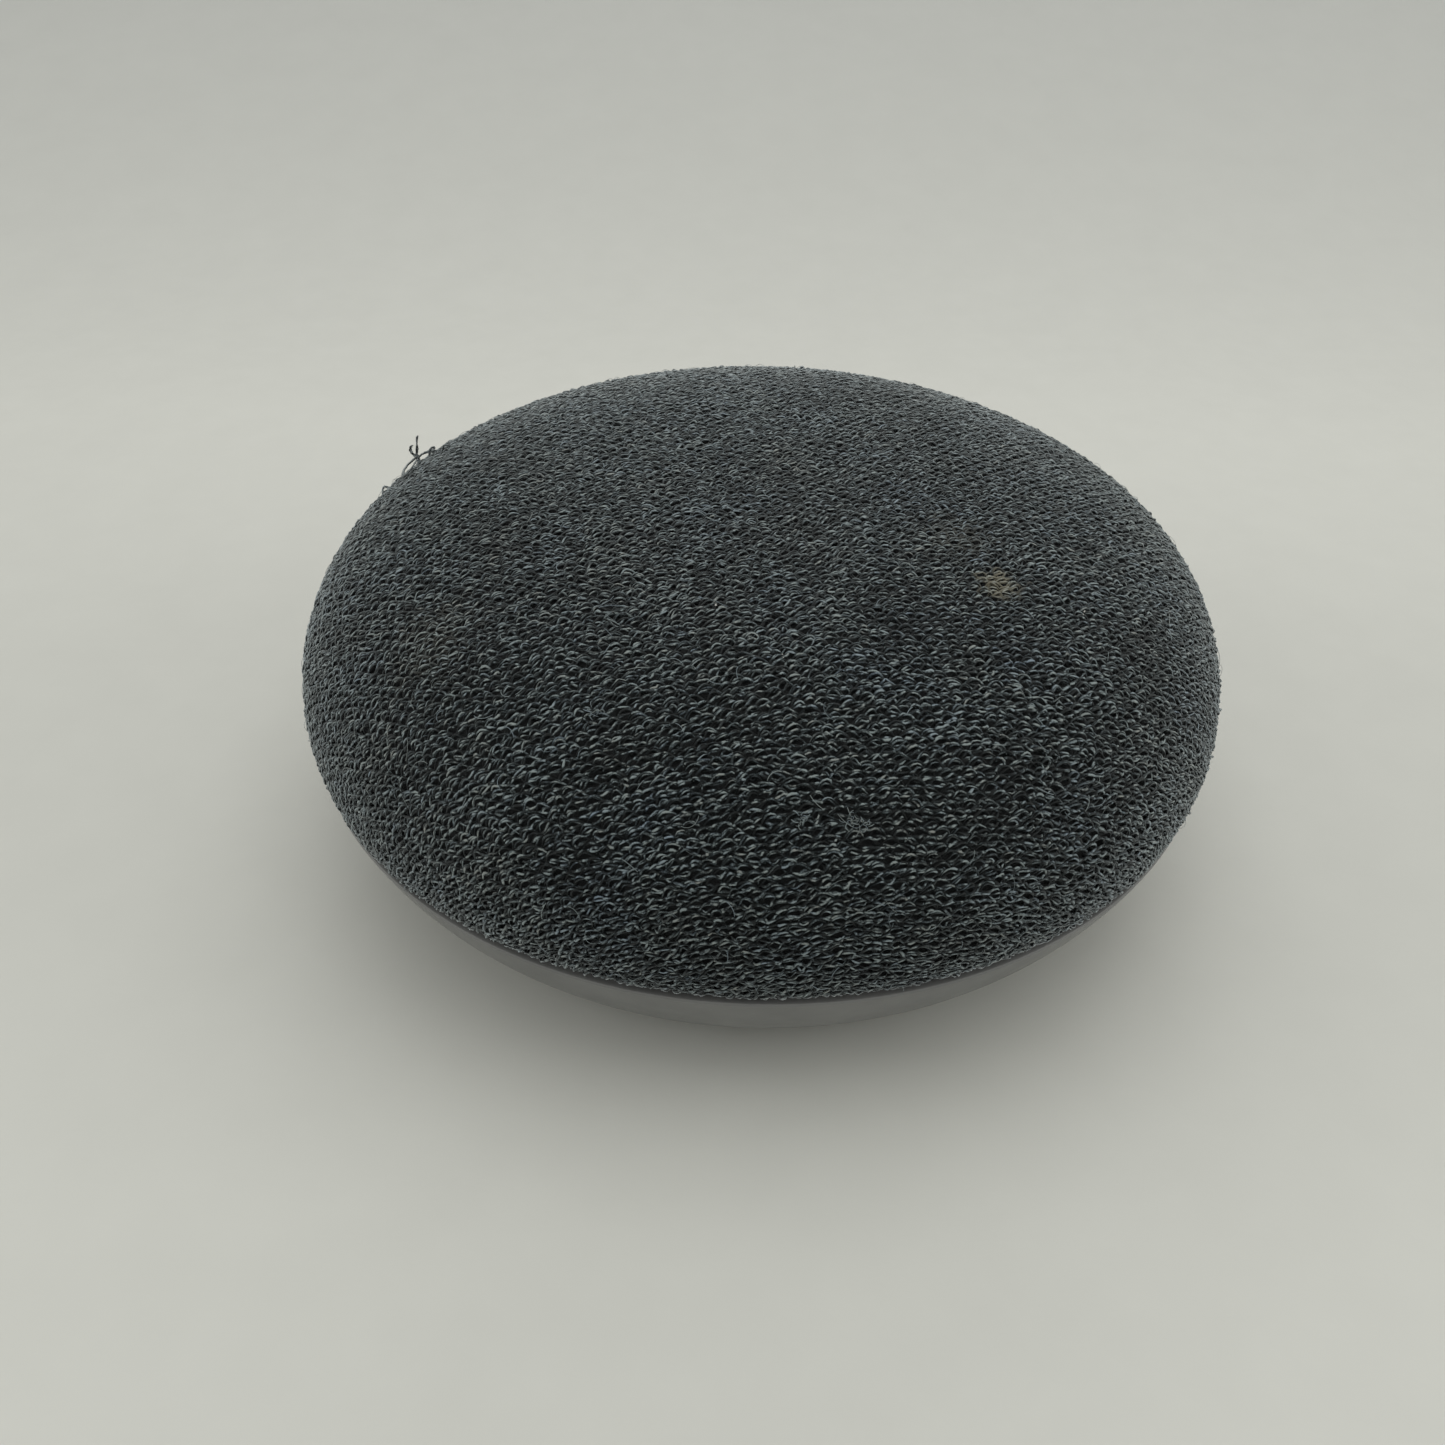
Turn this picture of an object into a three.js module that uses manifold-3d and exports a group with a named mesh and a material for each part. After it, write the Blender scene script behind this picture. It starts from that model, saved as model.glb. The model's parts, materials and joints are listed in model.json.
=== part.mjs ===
// A pebble-shaped smart speaker: a knit-covered dome over a plastic base, with its driver, boards and
// switches inside. Millimetres, +Z up, origin at the middle of the underside, power inlet towards +Y.
import * as THREE from "three";
import { mergeVertices } from "three/addons/utils/BufferGeometryUtils.js";
import Module from "manifold-3d";

const wasm = await Module();
wasm.setup();

// ---------------------------------------------------------------- driving dimensions

const BODY_RADIUS = 49;
const BODY_HEIGHT = 42;
const WIDEST_Z = 19.5; // height of the widest ring
const DOME_BULGE = { r: 3.18, z: 2.24 }; // superellipse powers of the upper outline
const BASE_BULGE = { r: 1.8, z: 1.5 }; // and of the lower one
const BASE_FOOT_RADIUS = 33.5;
const BASE_BOTTOM_Z = 1.0;

const GAP = 0.3; // clearance between neighbouring pieces
const FABRIC = 0.9; // thickness of the knit cover
const WALL = 2.0; // thickness of the plastic shells
const SEAM_Z = 15.6; // lower edge of the cover

const FOOT_RADIUS = 31.5;
const FOOT_HEIGHT = 1.7;
const FOOT_RECESS_Z = 2.0; // underside of the shell above the foot
const FLOOR_TOP_Z = FOOT_RECESS_Z + 1.6;

const BOARD = { thick: 1.2, main: 7.2, inlet: 6.9 }; // underside heights of the two boards
const MAIN_BOARD_RADIUS = 33.5;
const BOARD_SPLIT_Y = 25.5; // the main board ends here and the inlet board starts

const CASE_SCREW_RADIUS = 27; // pitch radius of the four screws that hold the base
const LID_SCREW_RADIUS = 35.7; // and of the four that hold the enclosure to the dome
const SHANK = 1.0; // screw shank radius
const SCREW_HOLE = SHANK + 0.35;
const SCREW_HEAD = { radius: 2.1, height: 1.3, hole: 2.5 };
const CASE_SHOULDER_Z = 5; // where the heads of the base's screws bear

const ENCLOSURE = { outer: 32.5, inner: 31, floor: 13.3, flange: 24.5, rim: 39, thick: 1.5 };
const LID_Z = ENCLOSURE.flange + ENCLOSURE.thick + 1.3;
const LID_TOP_Z = LID_Z + ENCLOSURE.thick;
const DRIVER_OPENING = 19.8;

const INLET = { z: 9.5, width: 12, height: 6.6, back: 39.3, wall: 1.2 };
const MUTE = { azimuth: THREE.MathUtils.degToRad(116), z: 8.2, knob: 6, travel: 2.5 };
const RESET = { x: 5.5, y: 28, pin: 1.6, collar: 2.6, hole: 2.1 }; // place and radii
const WIRE = { x: 1.1, y: -24, radius: 0.5 }; // where the driver's wires leave the enclosure
const LED_X = [-9, -3, 3, 9];
const MIC_X = 22;

const ROUND = 40; // facets of the large round pieces
const SMALL_ROUND = 24;
const TINY_ROUND = 12;

// ---------------------------------------------------------------- solids

/** A closed three.js geometry as a manifold solid. */
function solid(geometry) {
  const bare = geometry.clone();
  for (const name of Object.keys(bare.attributes)) if (name !== "position") bare.deleteAttribute(name);
  const merged = mergeVertices(bare, 1e-4);
  const faces = new Uint32Array(merged.index.array);
  const mesh = { numProp: 3, vertProperties: merged.attributes.position.array, triVerts: faces };
  return new wasm.Manifold(new wasm.Mesh(mesh));
}

/** A manifold solid as a three.js geometry. */
function geometryOf(made) {
  const { vertProperties, triVerts, numProp } = made.getMesh();
  const stored = new THREE.InterleavedBuffer(new Float32Array(vertProperties), numProp);
  const geometry = new THREE.BufferGeometry();
  geometry.setAttribute("position", new THREE.InterleavedBufferAttribute(stored, 3, 0));
  geometry.setIndex(new THREE.BufferAttribute(new Uint32Array(triVerts), 1));
  const flat = geometry.toNonIndexed();
  flat.computeVertexNormals();
  return flat;
}

/** Turns a closed [radius, height] outline about Z. The outline runs anticlockwise. */
function turned(outline, facets = ROUND) {
  const points = outline.map(([r, z]) => new THREE.Vector2(r, z));
  const closes = points[0].x > 0 || points.at(-1).x > 0;
  if (closes) points.push(points[0].clone());
  const area = points.slice(1).reduce((sum, p, i) => sum + points[i].x * p.y - p.x * points[i].y, 0);
  if (area < 0) points.reverse();
  return solid(new THREE.LatheGeometry(points, facets).rotateX(Math.PI / 2));
}

/** A ring or disc between two radii and two heights. */
function ring(inner, outer, low, high, facets = ROUND) {
  return turned([[inner, low], [outer, low], [outer, high], [inner, high]], facets);
}

function cylinder(radius, low, high, x = 0, y = 0, facets = SMALL_ROUND) {
  const made = new THREE.CylinderGeometry(radius, radius, high - low, facets).rotateX(Math.PI / 2);
  return solid(made.translate(x, y, (low + high) / 2));
}

/** A box from its lowest to its highest corner. */
function box([x0, y0, z0], [x1, y1, z1]) {
  const made = new THREE.BoxGeometry(x1 - x0, y1 - y0, z1 - z0);
  return solid(made.translate((x0 + x1) / 2, (y0 + y1) / 2, (z0 + z1) / 2));
}

/** A flat [x, z] outline given a width along Y, centred on y. */
function slab(outline, width, y = 0) {
  const shape = new THREE.Shape(outline.map(([x, z]) => new THREE.Vector2(x, z)));
  const made = new THREE.ExtrudeGeometry(shape, { depth: width, bevelEnabled: false });
  return solid(made.rotateX(Math.PI / 2).translate(0, y + width / 2, 0));
}

/** The closed outline of a thin sheet, seen edge on, whose middle follows a line of points. */
function sheetOutline(middle, thick) {
  const points = middle.map(([x, z]) => new THREE.Vector2(x, z));
  const side = (sign) =>
    points.map((p, i) => {
      const along = points[Math.min(i + 1, points.length - 1)].clone().sub(points[Math.max(i - 1, 0)]);
      const across = new THREE.Vector2(-along.y, along.x).setLength((sign * thick) / 2);
      return [p.x + across.x, p.y + across.y];
    });
  return [...side(1), ...side(-1).reverse()];
}

/** A thin strip that follows [x, z] points, with a width along Y. */
const strip = (route, thick, width, y = 0) => slab(sheetOutline(route, thick), width, y);

/** A round wire through a list of points. */
function wire(route, radius, steps = 14) {
  const section = new THREE.Shape().absarc(0, 0, radius, 0, 2 * Math.PI);
  const path = new THREE.CatmullRomCurve3(route.map((p) => new THREE.Vector3(...p)));
  const options = { steps, extrudePath: path, curveSegments: 4, bevelEnabled: false };
  return solid(new THREE.ExtrudeGeometry(section, options));
}

/** The same solid at count places round Z, starting at an angle. */
function around(count, start, radius, make) {
  return Array.from({ length: count }, (_, i) => {
    const angle = start + (i * 2 * Math.PI) / count;
    return make(radius * Math.cos(angle), radius * Math.sin(angle), angle);
  });
}

const joined = (first, ...rest) => rest.reduce((made, piece) => made.add(piece), first);
const cutBy = (first, ...tools) => tools.reduce((made, tool) => made.subtract(tool), first);

/** A solid turned by a tilt about Y and then by an azimuth about Z. */
function placed(made, { tilt = 0, at = [0, 0, 0], azimuth = 0 }) {
  return solid(geometryOf(made).rotateY(tilt).translate(...at).rotateZ(azimuth));
}

// ---------------------------------------------------------------- outline of the body

/** A quarter superellipse from its widest point to its far end. */
function bulge(widest, far, power, steps = 90) {
  return Array.from({ length: steps + 1 }, (_, i) => {
    const angle = (i / steps) * (Math.PI / 2);
    const r = far[0] + (widest[0] - far[0]) * Math.max(Math.cos(angle), 0) ** (2 / power.r);
    const z = widest[1] + (far[1] - widest[1]) * Math.sin(angle) ** (2 / power.z);
    return new THREE.Vector2(i === steps ? far[0] : r, z);
  });
}

const WIDEST = [BODY_RADIUS, WIDEST_Z];
const OUTLINE = [
  ...bulge(WIDEST, [BASE_FOOT_RADIUS, BASE_BOTTOM_Z], BASE_BULGE).reverse(),
  ...bulge(WIDEST, [0, BODY_HEIGHT], DOME_BULGE).slice(1),
];

/** The body's outline moved inwards by a depth, from the foot to the axis. */
function inset(depth) {
  return OUTLINE.map((p, i) => {
    const next = OUTLINE[Math.min(i + 1, OUTLINE.length - 1)];
    const along = next.clone().sub(OUTLINE[Math.max(i - 1, 0)]).normalize();
    const moved = new THREE.Vector2(p.x - along.y * depth, p.y + along.x * depth);
    return p.x === 0 ? new THREE.Vector2(0, p.y - depth) : moved;
  }).filter((p) => p.x >= 0);
}

/** count points, evenly spaced, on the inset outline between two heights. */
function wallPoints(depth, low, high, count) {
  const fine = inset(depth);
  const crossing = (z) => {
    const i = fine.findIndex((p) => p.y >= z);
    if (i <= 0) return i === 0 ? 0 : fine.length - 1;
    return i - 1 + (z - fine[i - 1].y) / (fine[i].y - fine[i - 1].y);
  };
  const at = (s) => {
    const i = Math.min(Math.floor(s), fine.length - 2);
    return fine[i].clone().lerp(fine[i + 1], s - i);
  };
  const [first, last] = [crossing(low), crossing(high)];
  const inside = fine.filter((_, i) => i > first && i < last);
  const line = [at(first), ...inside, at(last)];
  const lengths = line.map((p, i) => (i ? p.distanceTo(line[i - 1]) : 0));
  const along = lengths.map((_, i) => lengths.slice(0, i + 1).reduce((a, b) => a + b, 0));
  return Array.from({ length: count }, (_, k) => {
    const wanted = (k / (count - 1)) * along.at(-1);
    const i = Math.max(1, along.findIndex((s) => s >= wanted - 1e-9));
    const share = (wanted - along[i - 1]) / (along[i] - along[i - 1]);
    const p = line[i - 1].clone().lerp(line[i], share);
    return [p.x < 1e-6 ? 0 : p.x, p.y];
  });
}

/** Everything inside the outline, moved inwards by a depth, as one solid. */
function insideOf(depth) {
  const side = wallPoints(depth, BASE_BOTTOM_Z, BODY_HEIGHT, 24);
  return turned([[0, side[0][1]], ...side]);
}

/** The outer wall at a height: its radius, and how far it leans out of the vertical. */
function wallAt(z) {
  const [[low], [high]] = [z - 1, z + 1].map((level) => wallPoints(0, level, WIDEST_Z, 2)[0]);
  return { radius: wallPoints(0, z, WIDEST_Z, 2)[0][0], lean: Math.atan2(high - low, 2) };
}

// ---------------------------------------------------------------- materials

function finish(color, roughness, metalness = 0) {
  return new THREE.MeshStandardMaterial({ color, roughness, metalness });
}

const MATERIALS = {
  knit: finish(0x3c4144, 0.95),
  basePlastic: finish(0x77797a, 0.5),
  darkPlastic: finish(0x2b2d2f, 0.6),
  silicone: finish(0x55585a, 0.85),
  orange: finish(0xe2672a, 0.6),
  board: finish(0x1f4a37, 0.55),
  chip: finish(0x1a1b1d, 0.45),
  tin: finish(0xb9bcc0, 0.35, 1),
  castAlloy: finish(0x9a9da1, 0.55, 1),
  steel: finish(0x8d9094, 0.35, 1),
  ferrite: finish(0x33343a, 0.5),
  paper: finish(0x222426, 0.9),
  rubber: finish(0x18191a, 0.8),
  spider: finish(0xa5823f, 0.9),
  copper: finish(0xb5703a, 0.4, 1),
  led: finish(0xf3f1e4, 0.3),
  diffuser: finish(0xe9eaea, 0.5),
  thermal: finish(0x9fa8b4, 0.8),
  ribbon: finish(0xc98a2b, 0.5),
  wireRed: finish(0xb3262a, 0.5),
  wireBlack: finish(0x17181a, 0.5),
};

const speaker = new THREE.Group();

function addPiece(name, made, material, parent = speaker) {
  const mesh = new THREE.Mesh(geometryOf(made), material);
  mesh.name = name;
  parent.add(mesh);
  return mesh;
}

// ---------------------------------------------------------------- cover and shells

const SHELL_DEPTH = FABRIC + GAP; // how deep the dome shell lies under the outline
const SHELL_EDGE_Z = SEAM_Z + FABRIC + GAP;
const TURN_UP = { inner: 44.2, outer: 44.95, top: 18.6 }; // the cover's edge, folded up inside the shell

function fabricCover() {
  const outside = wallPoints(0, SEAM_Z, BODY_HEIGHT, 11).reverse();
  const inside = wallPoints(FABRIC, SEAM_Z + FABRIC, BODY_HEIGHT, 11);
  const fold = [
    [TURN_UP.inner, SEAM_Z],
    [TURN_UP.inner, TURN_UP.top],
    [TURN_UP.outer, TURN_UP.top],
    [TURN_UP.outer, SEAM_Z + FABRIC],
  ];
  return turned([...outside, ...fold, ...inside]);
}

const LID_POST = { radius: 2.8, top: 37, pilot: 5 };
const SOUND_SLOT_WIDTH = 2;
const ABOVE_DOME = BODY_HEIGHT + 3; // where tools that cut down through the dome start

/** A slot through the dome at a radius and an angle, lying across the radius. */
function soundSlot(length, x, y, angle) {
  const cut = box([-length / 2, -SOUND_SLOT_WIDTH / 2, 30], [length / 2, SOUND_SLOT_WIDTH / 2, ABOVE_DOME]);
  return placed(cut, { at: [Math.hypot(x, y), 0, 0], azimuth: angle });
}

/** The dome that carries the cover: sound slots, light and microphone holes, and four screw posts. */
function topShell() {
  const outside = wallPoints(SHELL_DEPTH, SHELL_EDGE_Z, BODY_HEIGHT, 11).reverse();
  const inside = wallPoints(SHELL_DEPTH + WALL, SHELL_EDGE_Z, BODY_HEIGHT, 9);
  const dome = turned([...outside, ...inside]);
  const within = insideOf(SHELL_DEPTH + WALL / 2);
  const posts = around(4, Math.PI / 4, LID_SCREW_RADIUS, (x, y) =>
    cylinder(LID_POST.radius, LID_TOP_Z + GAP, LID_POST.top, x, y, TINY_ROUND).intersect(within),
  );
  const pilots = around(4, Math.PI / 4, LID_SCREW_RADIUS, (x, y) =>
    cylinder(SCREW_HOLE, LID_TOP_Z, LID_TOP_Z + LID_POST.pilot, x, y, TINY_ROUND),
  );
  const slots = (count, radius, length) =>
    around(count, Math.PI / count, radius, (x, y, angle) => soundSlot(length, x, y, angle));
  const clearOfPosts = (_, i) => i % 4 !== 1 && i % 4 !== 2;
  const innerSlots = slots(12, 17, 7);
  const outerSlots = slots(16, 28, 8).filter(clearOfPosts);
  const lightHoles = LED_X.map((x) => cylinder(1, 37, ABOVE_DOME, x, 0, TINY_ROUND));
  const micHoles = [-MIC_X, MIC_X].map((x) => cylinder(0.8, 36, ABOVE_DOME, x, 0, TINY_ROUND));
  return cutBy(joined(dome, ...posts), ...pilots, ...innerSlots, ...outerSlots, ...lightHoles, ...micHoles);
}

const LIP = { outer: 42.2, inner: 40.8, top: 17.6, foot: 14 }; // locating lip inside the rim of the base
const CASE_BOSS = { radius: 3.6, ledge: 5 };
const INLET_BOARD_POSTS = [[-14, 29], [12, 29]];
const LEDGE_Z = 6.9; // shoulder of the base's bosses, just under the main board

/** The base: bowl, screw bosses, board posts, cable recess, mute slot and reset hole. */
function bottomShell() {
  const rim = SEAM_Z - GAP;
  const outside = wallPoints(0, BASE_BOTTOM_Z, rim, 9);
  const inside = wallPoints(WALL, FLOOR_TOP_Z, 12.5, 6).reverse();
  const bowl = turned([
    [0, FOOT_RECESS_Z],
    [FOOT_RADIUS + GAP, FOOT_RECESS_Z],
    [FOOT_RADIUS + GAP, BASE_BOTTOM_Z],
    ...outside,
    [LIP.outer, rim],
    [LIP.outer, LIP.top],
    [LIP.inner, LIP.top],
    [LIP.inner, LIP.foot],
    ...inside,
    [0, FLOOR_TOP_Z],
  ]);
  const bossTop = ENCLOSURE.floor - 2 * GAP;
  const bosses = around(4, Math.PI / 4, CASE_SCREW_RADIUS, (x, y) =>
    joined(
      cylinder(CASE_BOSS.radius, FLOOR_TOP_Z - 1, bossTop, x, y, TINY_ROUND),
      cylinder(CASE_BOSS.ledge, FLOOR_TOP_Z - 1, LEDGE_Z, x, y, TINY_ROUND),
    ),
  );
  const screwHoles = around(4, Math.PI / 4, CASE_SCREW_RADIUS, (x, y) =>
    joined(
      cylinder(SCREW_HOLE, 0, 20, x, y, TINY_ROUND),
      cylinder(SCREW_HEAD.hole, 0, CASE_SHOULDER_Z, x, y, TINY_ROUND),
    ),
  );
  const boardPosts = INLET_BOARD_POSTS.map(([x, y]) =>
    cylinder(1.8, FLOOR_TOP_Z - 1, BOARD.inlet - GAP, x, y, TINY_ROUND),
  );
  const { width, height, back, wall, z } = INLET;
  const [low, high] = [z - height / 2, z + height / 2];
  const recessWalls = box(
    [-width / 2 - wall, back - wall, low - wall],
    [width / 2 + wall, BODY_RADIUS, high + wall],
  ).intersect(insideOf(0.4));
  const recess = box([-width / 2, back, low], [width / 2, BODY_RADIUS + 5, high]);
  const window = box(
    [-USB.width / 2 - GAP, back - 2 * wall, USB.low - GAP],
    [USB.width / 2 + GAP, back + 1, USB.low + USB.height + GAP],
  );
  const [slotLength, slotHeight] = [MUTE.knob + MUTE.travel + 0.8, 3.8];
  const slot = box([-6, -slotLength / 2, -slotHeight / 2], [3, slotLength / 2, slotHeight / 2]);
  const muteSlot = placed(slot, MUTE_PLACE);
  const resetHole = cylinder(RESET.hole, 0, FLOOR_TOP_Z + 1, RESET.x, RESET.y, TINY_ROUND);
  const solidBase = joined(bowl, ...bosses, ...boardPosts, recessWalls);
  return cutBy(solidBase, ...screwHoles, recess, window, muteSlot, resetHole);
}

function footPad() {
  const edge = 0.6; // rounding of the lower edge
  const pad = turned([
    [0, 0],
    [FOOT_RADIUS - edge, 0],
    [FOOT_RADIUS - edge * 0.3, edge * 0.3],
    [FOOT_RADIUS, edge],
    [FOOT_RADIUS, FOOT_HEIGHT],
    [0, FOOT_HEIGHT],
  ]);
  return cutBy(pad, cylinder(RESET.hole + 0.2, -1, 3, RESET.x, RESET.y, TINY_ROUND));
}

const clampRing = () => ring(42.6, TURN_UP.inner - GAP, SEAM_Z + 0.4, TURN_UP.top - 0.2);

// ---------------------------------------------------------------- switches and inlet

const INLET_BOARD_TOP = BOARD.inlet + BOARD.thick;
const USB = { width: 7.5, height: 2.6, depth: 5.9, low: INLET_BOARD_TOP + 0.1 };
const MUTE_WALL = wallAt(MUTE.z);
const MUTE_PLACE = {
  tilt: MUTE_WALL.lean,
  at: [MUTE_WALL.radius, 0, MUTE.z],
  azimuth: MUTE.azimuth,
};

function inletBoard() {
  const y0 = BOARD_SPLIT_Y + 0.6;
  const plate = box([-26, y0, BOARD.inlet], [16, 38, INLET_BOARD_TOP]);
  return plate.intersect(cylinder(37.4, 0, 20, 0, 0, ROUND));
}

function powerSocket() {
  const { width, height, depth, low } = USB;
  const front = INLET.back + 0.5;
  const can = box([-width / 2, front - depth, low], [width / 2, front, low + height]);
  const hollow = box(
    [-width / 2 + 0.3, front - depth + 0.6, low + 0.3],
    [width / 2 - 0.3, front + 1, low + height - 0.3],
  );
  return cutBy(can, hollow);
}

function powerTongue() {
  const front = INLET.back;
  return box([-2.1, front - 4.4, USB.low + 1.2], [2.1, front, USB.low + 1.9]);
}

/** The thumb slide with its backing plate and the fork that drives the switch. In the mute group. */
function muteSlider() {
  const rest = -MUTE.travel / 2;
  const half = MUTE.knob / 2;
  const lean = { tilt: MUTE_WALL.lean, at: [MUTE_WALL.radius, 0, MUTE.z] };
  const knob = box([-4, rest - half, -1.5], [0.5, rest + half, 1.5]);
  const ribs = [-1.6, 0, 1.6].map((y) => box([0, rest + y - 0.35, -1.5], [0.9, rest + y + 0.35, 1.5]));
  const plate = box([-4.4, rest - 7.4, -2.8], [-3.4, rest + 7.4, 2.8]);
  const prongs = [-1.6, 1.6].map((y) => box([37.2, rest + y - 0.5, 8.8], [41.2, rest + y + 0.5, 10]));
  return joined(placed(joined(knob, ...ribs, plate), lean), ...prongs);
}

/** The warning film that shows beside the knob when it is slid over. In the mute group. */
function muteLabel() {
  const edge = -MUTE.travel / 2 - MUTE.knob / 2;
  const film = box([-3.35, edge - 3.3, -1.9], [-3.2, edge - 0.1, 1.9]);
  return placed(film, { tilt: MUTE_WALL.lean, at: [MUTE_WALL.radius, 0, MUTE.z] });
}

const LEVER = { low: 8.8, high: 10, reach: 38.9 };

function muteSwitchBody() {
  const can = box([31.6, -4.5, INLET_BOARD_TOP + 0.1], [36, 4.5, 10.8]);
  return cutBy(can, box([34, -2.6, LEVER.low - GAP], [37, 2.6, LEVER.high + GAP]));
}

function muteLever() {
  const rest = -MUTE.travel / 2;
  return box([34.4, rest - 0.7, LEVER.low], [LEVER.reach, rest + 0.7, LEVER.high]);
}

const TACT = { low: 5.3, plunger: 0.9 };

/** A pin with a collar that keeps it from falling out of the base. */
function resetButton() {
  const pin = cylinder(RESET.pin, GAP, TACT.low - 2 * GAP, RESET.x, RESET.y, TINY_ROUND);
  const collar = cylinder(RESET.collar, FLOOR_TOP_Z + 0.2, TACT.low - 0.8, RESET.x, RESET.y, TINY_ROUND);
  return joined(pin, collar);
}

function resetSwitchBody() {
  const half = 2.2;
  const can = box(
    [RESET.x - half, RESET.y - half + 0.6, TACT.low],
    [RESET.x + half, RESET.y + half + 0.6, BOARD.inlet - 0.05],
  );
  return cutBy(can, cylinder(TACT.plunger + GAP, 0, BOARD.inlet - GAP, RESET.x, RESET.y, TINY_ROUND));
}

const resetPlunger = () =>
  cylinder(TACT.plunger, TACT.low - 0.3, TACT.low + 0.6, RESET.x, RESET.y, TINY_ROUND);

// ---------------------------------------------------------------- main board

const MAIN_BOARD_TOP = BOARD.main + BOARD.thick;
const ON_BOARD = MAIN_BOARD_TOP + 0.1;
const SHIELD = { x: 14, y: 11, high: 11 };

function mainBoard() {
  const disc = cylinder(MAIN_BOARD_RADIUS, BOARD.main, MAIN_BOARD_TOP, 0, 0, ROUND);
  const behind = box([-50, BOARD_SPLIT_Y, 0], [50, 50, 20]);
  const clearances = around(4, Math.PI / 4, CASE_SCREW_RADIUS, (x, y) =>
    cylinder(4, 0, 20, x, y, TINY_ROUND),
  );
  return cutBy(disc, behind, ...clearances);
}

function shieldCan() {
  const { x, y, high } = SHIELD;
  const can = box([-x, -y, ON_BOARD], [x, y, high]);
  return cutBy(can, box([-x + 0.4, -y + 0.4, 0], [x - 0.4, y - 0.4, high - 0.4]));
}

const chip = (x, y, width, depth, height) =>
  box([x - width / 2, y - depth / 2, ON_BOARD], [x + width / 2, y + depth / 2, ON_BOARD + height]);

const thermalPad = () => box([-10, -8, SHIELD.high + 0.1], [10, 8, ENCLOSURE.floor - 0.2]);

/** Links the inlet board to the main board, arching over the split between them. */
function inletRibbon() {
  const route = [
    [28.4, INLET_BOARD_TOP + 0.25],
    [28, 9.4],
    [26.6, 10.4],
    [25, 10.5],
    [23.4, 9.6],
    [22.4, MAIN_BOARD_TOP + 0.3],
  ];
  return placed(strip(route, 0.25, 8, 4), { azimuth: Math.PI / 2 });
}

/** Climbs from the main board, outside the enclosure, to the light board. */
function lightRibbon() {
  const route = [
    [-26.6, LIGHT_BOARD.top + 0.3],
    [-31, 35.6],
    [-37.2, 32.6],
    [-39.9, 29],
    [-39.9, 12.5],
    [-38.6, 9.9],
    [-36, 8.9],
    [-31, MAIN_BOARD_TOP + 0.3],
  ];
  return strip(route, 0.25, 4);
}

// ---------------------------------------------------------------- driver and enclosure

/** The cast cup that closes the back of the driver and carries its heat away. */
function enclosureCup() {
  const { outer, inner, floor, flange, rim, thick } = ENCLOSURE;
  const cup = turned(
    [
      [0, floor],
      [outer, floor],
      [outer, flange],
      [rim, flange],
      [rim, flange + thick],
      [inner, flange + thick],
      [inner, floor + thick],
      [0, floor + thick],
    ],
    36,
  );
  const lugs = around(4, Math.PI / 4, CASE_SCREW_RADIUS, (x, y) =>
    cylinder(3, floor + thick / 2, 19.2, x, y, TINY_ROUND),
  );
  const threads = around(4, Math.PI / 4, CASE_SCREW_RADIUS, (x, y) =>
    cylinder(SCREW_HOLE, floor - 1, 18.2, x, y, TINY_ROUND),
  );
  const ribs = around(8, Math.PI / 8, outer + 1.2, (x, y, angle) =>
    placed(box([-2.4, -0.7, floor + 3], [2, 0.7, flange + 0.1]), {
      at: [Math.hypot(x, y), 0, 0],
      azimuth: angle,
    }),
  );
  return cutBy(joined(cup, ...lugs, ...ribs), ...threads, ...flangeHoles(), wireHole(2.6));
}

const flangeHoles = () =>
  around(4, Math.PI / 4, LID_SCREW_RADIUS, (x, y) => cylinder(SCREW_HOLE, 20, 30, x, y, TINY_ROUND));

const wireHole = (radius) => cylinder(radius, 10, 20, 0, WIRE.y, TINY_ROUND);

function enclosureLid() {
  const plate = ring(DRIVER_OPENING, ENCLOSURE.rim, LID_Z, LID_TOP_Z, 36);
  return cutBy(plate, ...flangeHoles());
}

const enclosureGasket = () => ring(31.2, 34, LID_Z - 1.1, LID_Z - 0.2, 36);

const DRIVER = { pole: 4.9, gapOuter: 6.3, magnet: 12.5, flange: 22, top: LID_TOP_Z + 1.5 };

/** The driver's basket, with four windows behind the cone. */
function speakerFrame() {
  const { flange, top } = DRIVER;
  const basket = turned(
    [
      [flange, top],
      [flange, top - 1.2],
      [19.4, top - 1.2],
      [18.2, 25],
      [18.2, 23.8],
      [15.4, 23.8],
      [13.6, 21.8],
      [9, 21.8],
      [9, 22.8],
      [13, 22.8],
      [14.8, 24.8],
      [17.2, 24.8],
      [18.4, top - 1.3],
      [18.9, top],
    ],
    32,
  );
  const windows = around(4, Math.PI / 4, 18, (x, y, angle) =>
    placed(box([-3, -5, 25.6], [3, 5, 28.2]), { at: [Math.hypot(x, y), 0, 0], azimuth: angle }),
  );
  return cutBy(basket, ...windows);
}

const MOTOR_Z = 15.2; // underside of the driver's motor

function yoke() {
  const { pole, magnet } = DRIVER;
  return turned(
    [
      [0, MOTOR_Z],
      [magnet, MOTOR_Z],
      [magnet, MOTOR_Z + 1.2],
      [pole, MOTOR_Z + 1.2],
      [pole, MOTOR_Z + 6.3],
      [0, MOTOR_Z + 6.3],
    ],
    SMALL_ROUND,
  );
}

const magnetRing = () => ring(7.6, DRIVER.magnet, MOTOR_Z + 1.5, MOTOR_Z + 4.5, SMALL_ROUND);
const topPlate = () => ring(DRIVER.gapOuter, DRIVER.magnet, MOTOR_Z + 4.8, MOTOR_Z + 6.3, SMALL_ROUND);
const voiceCoil = () => ring(5.25, 5.95, 18.2, 27, SMALL_ROUND);

const CONE = { neck: 6.3, neckZ: 25.9, edge: 16.2, edgeZ: 29.2, thick: 0.5 };

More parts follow.
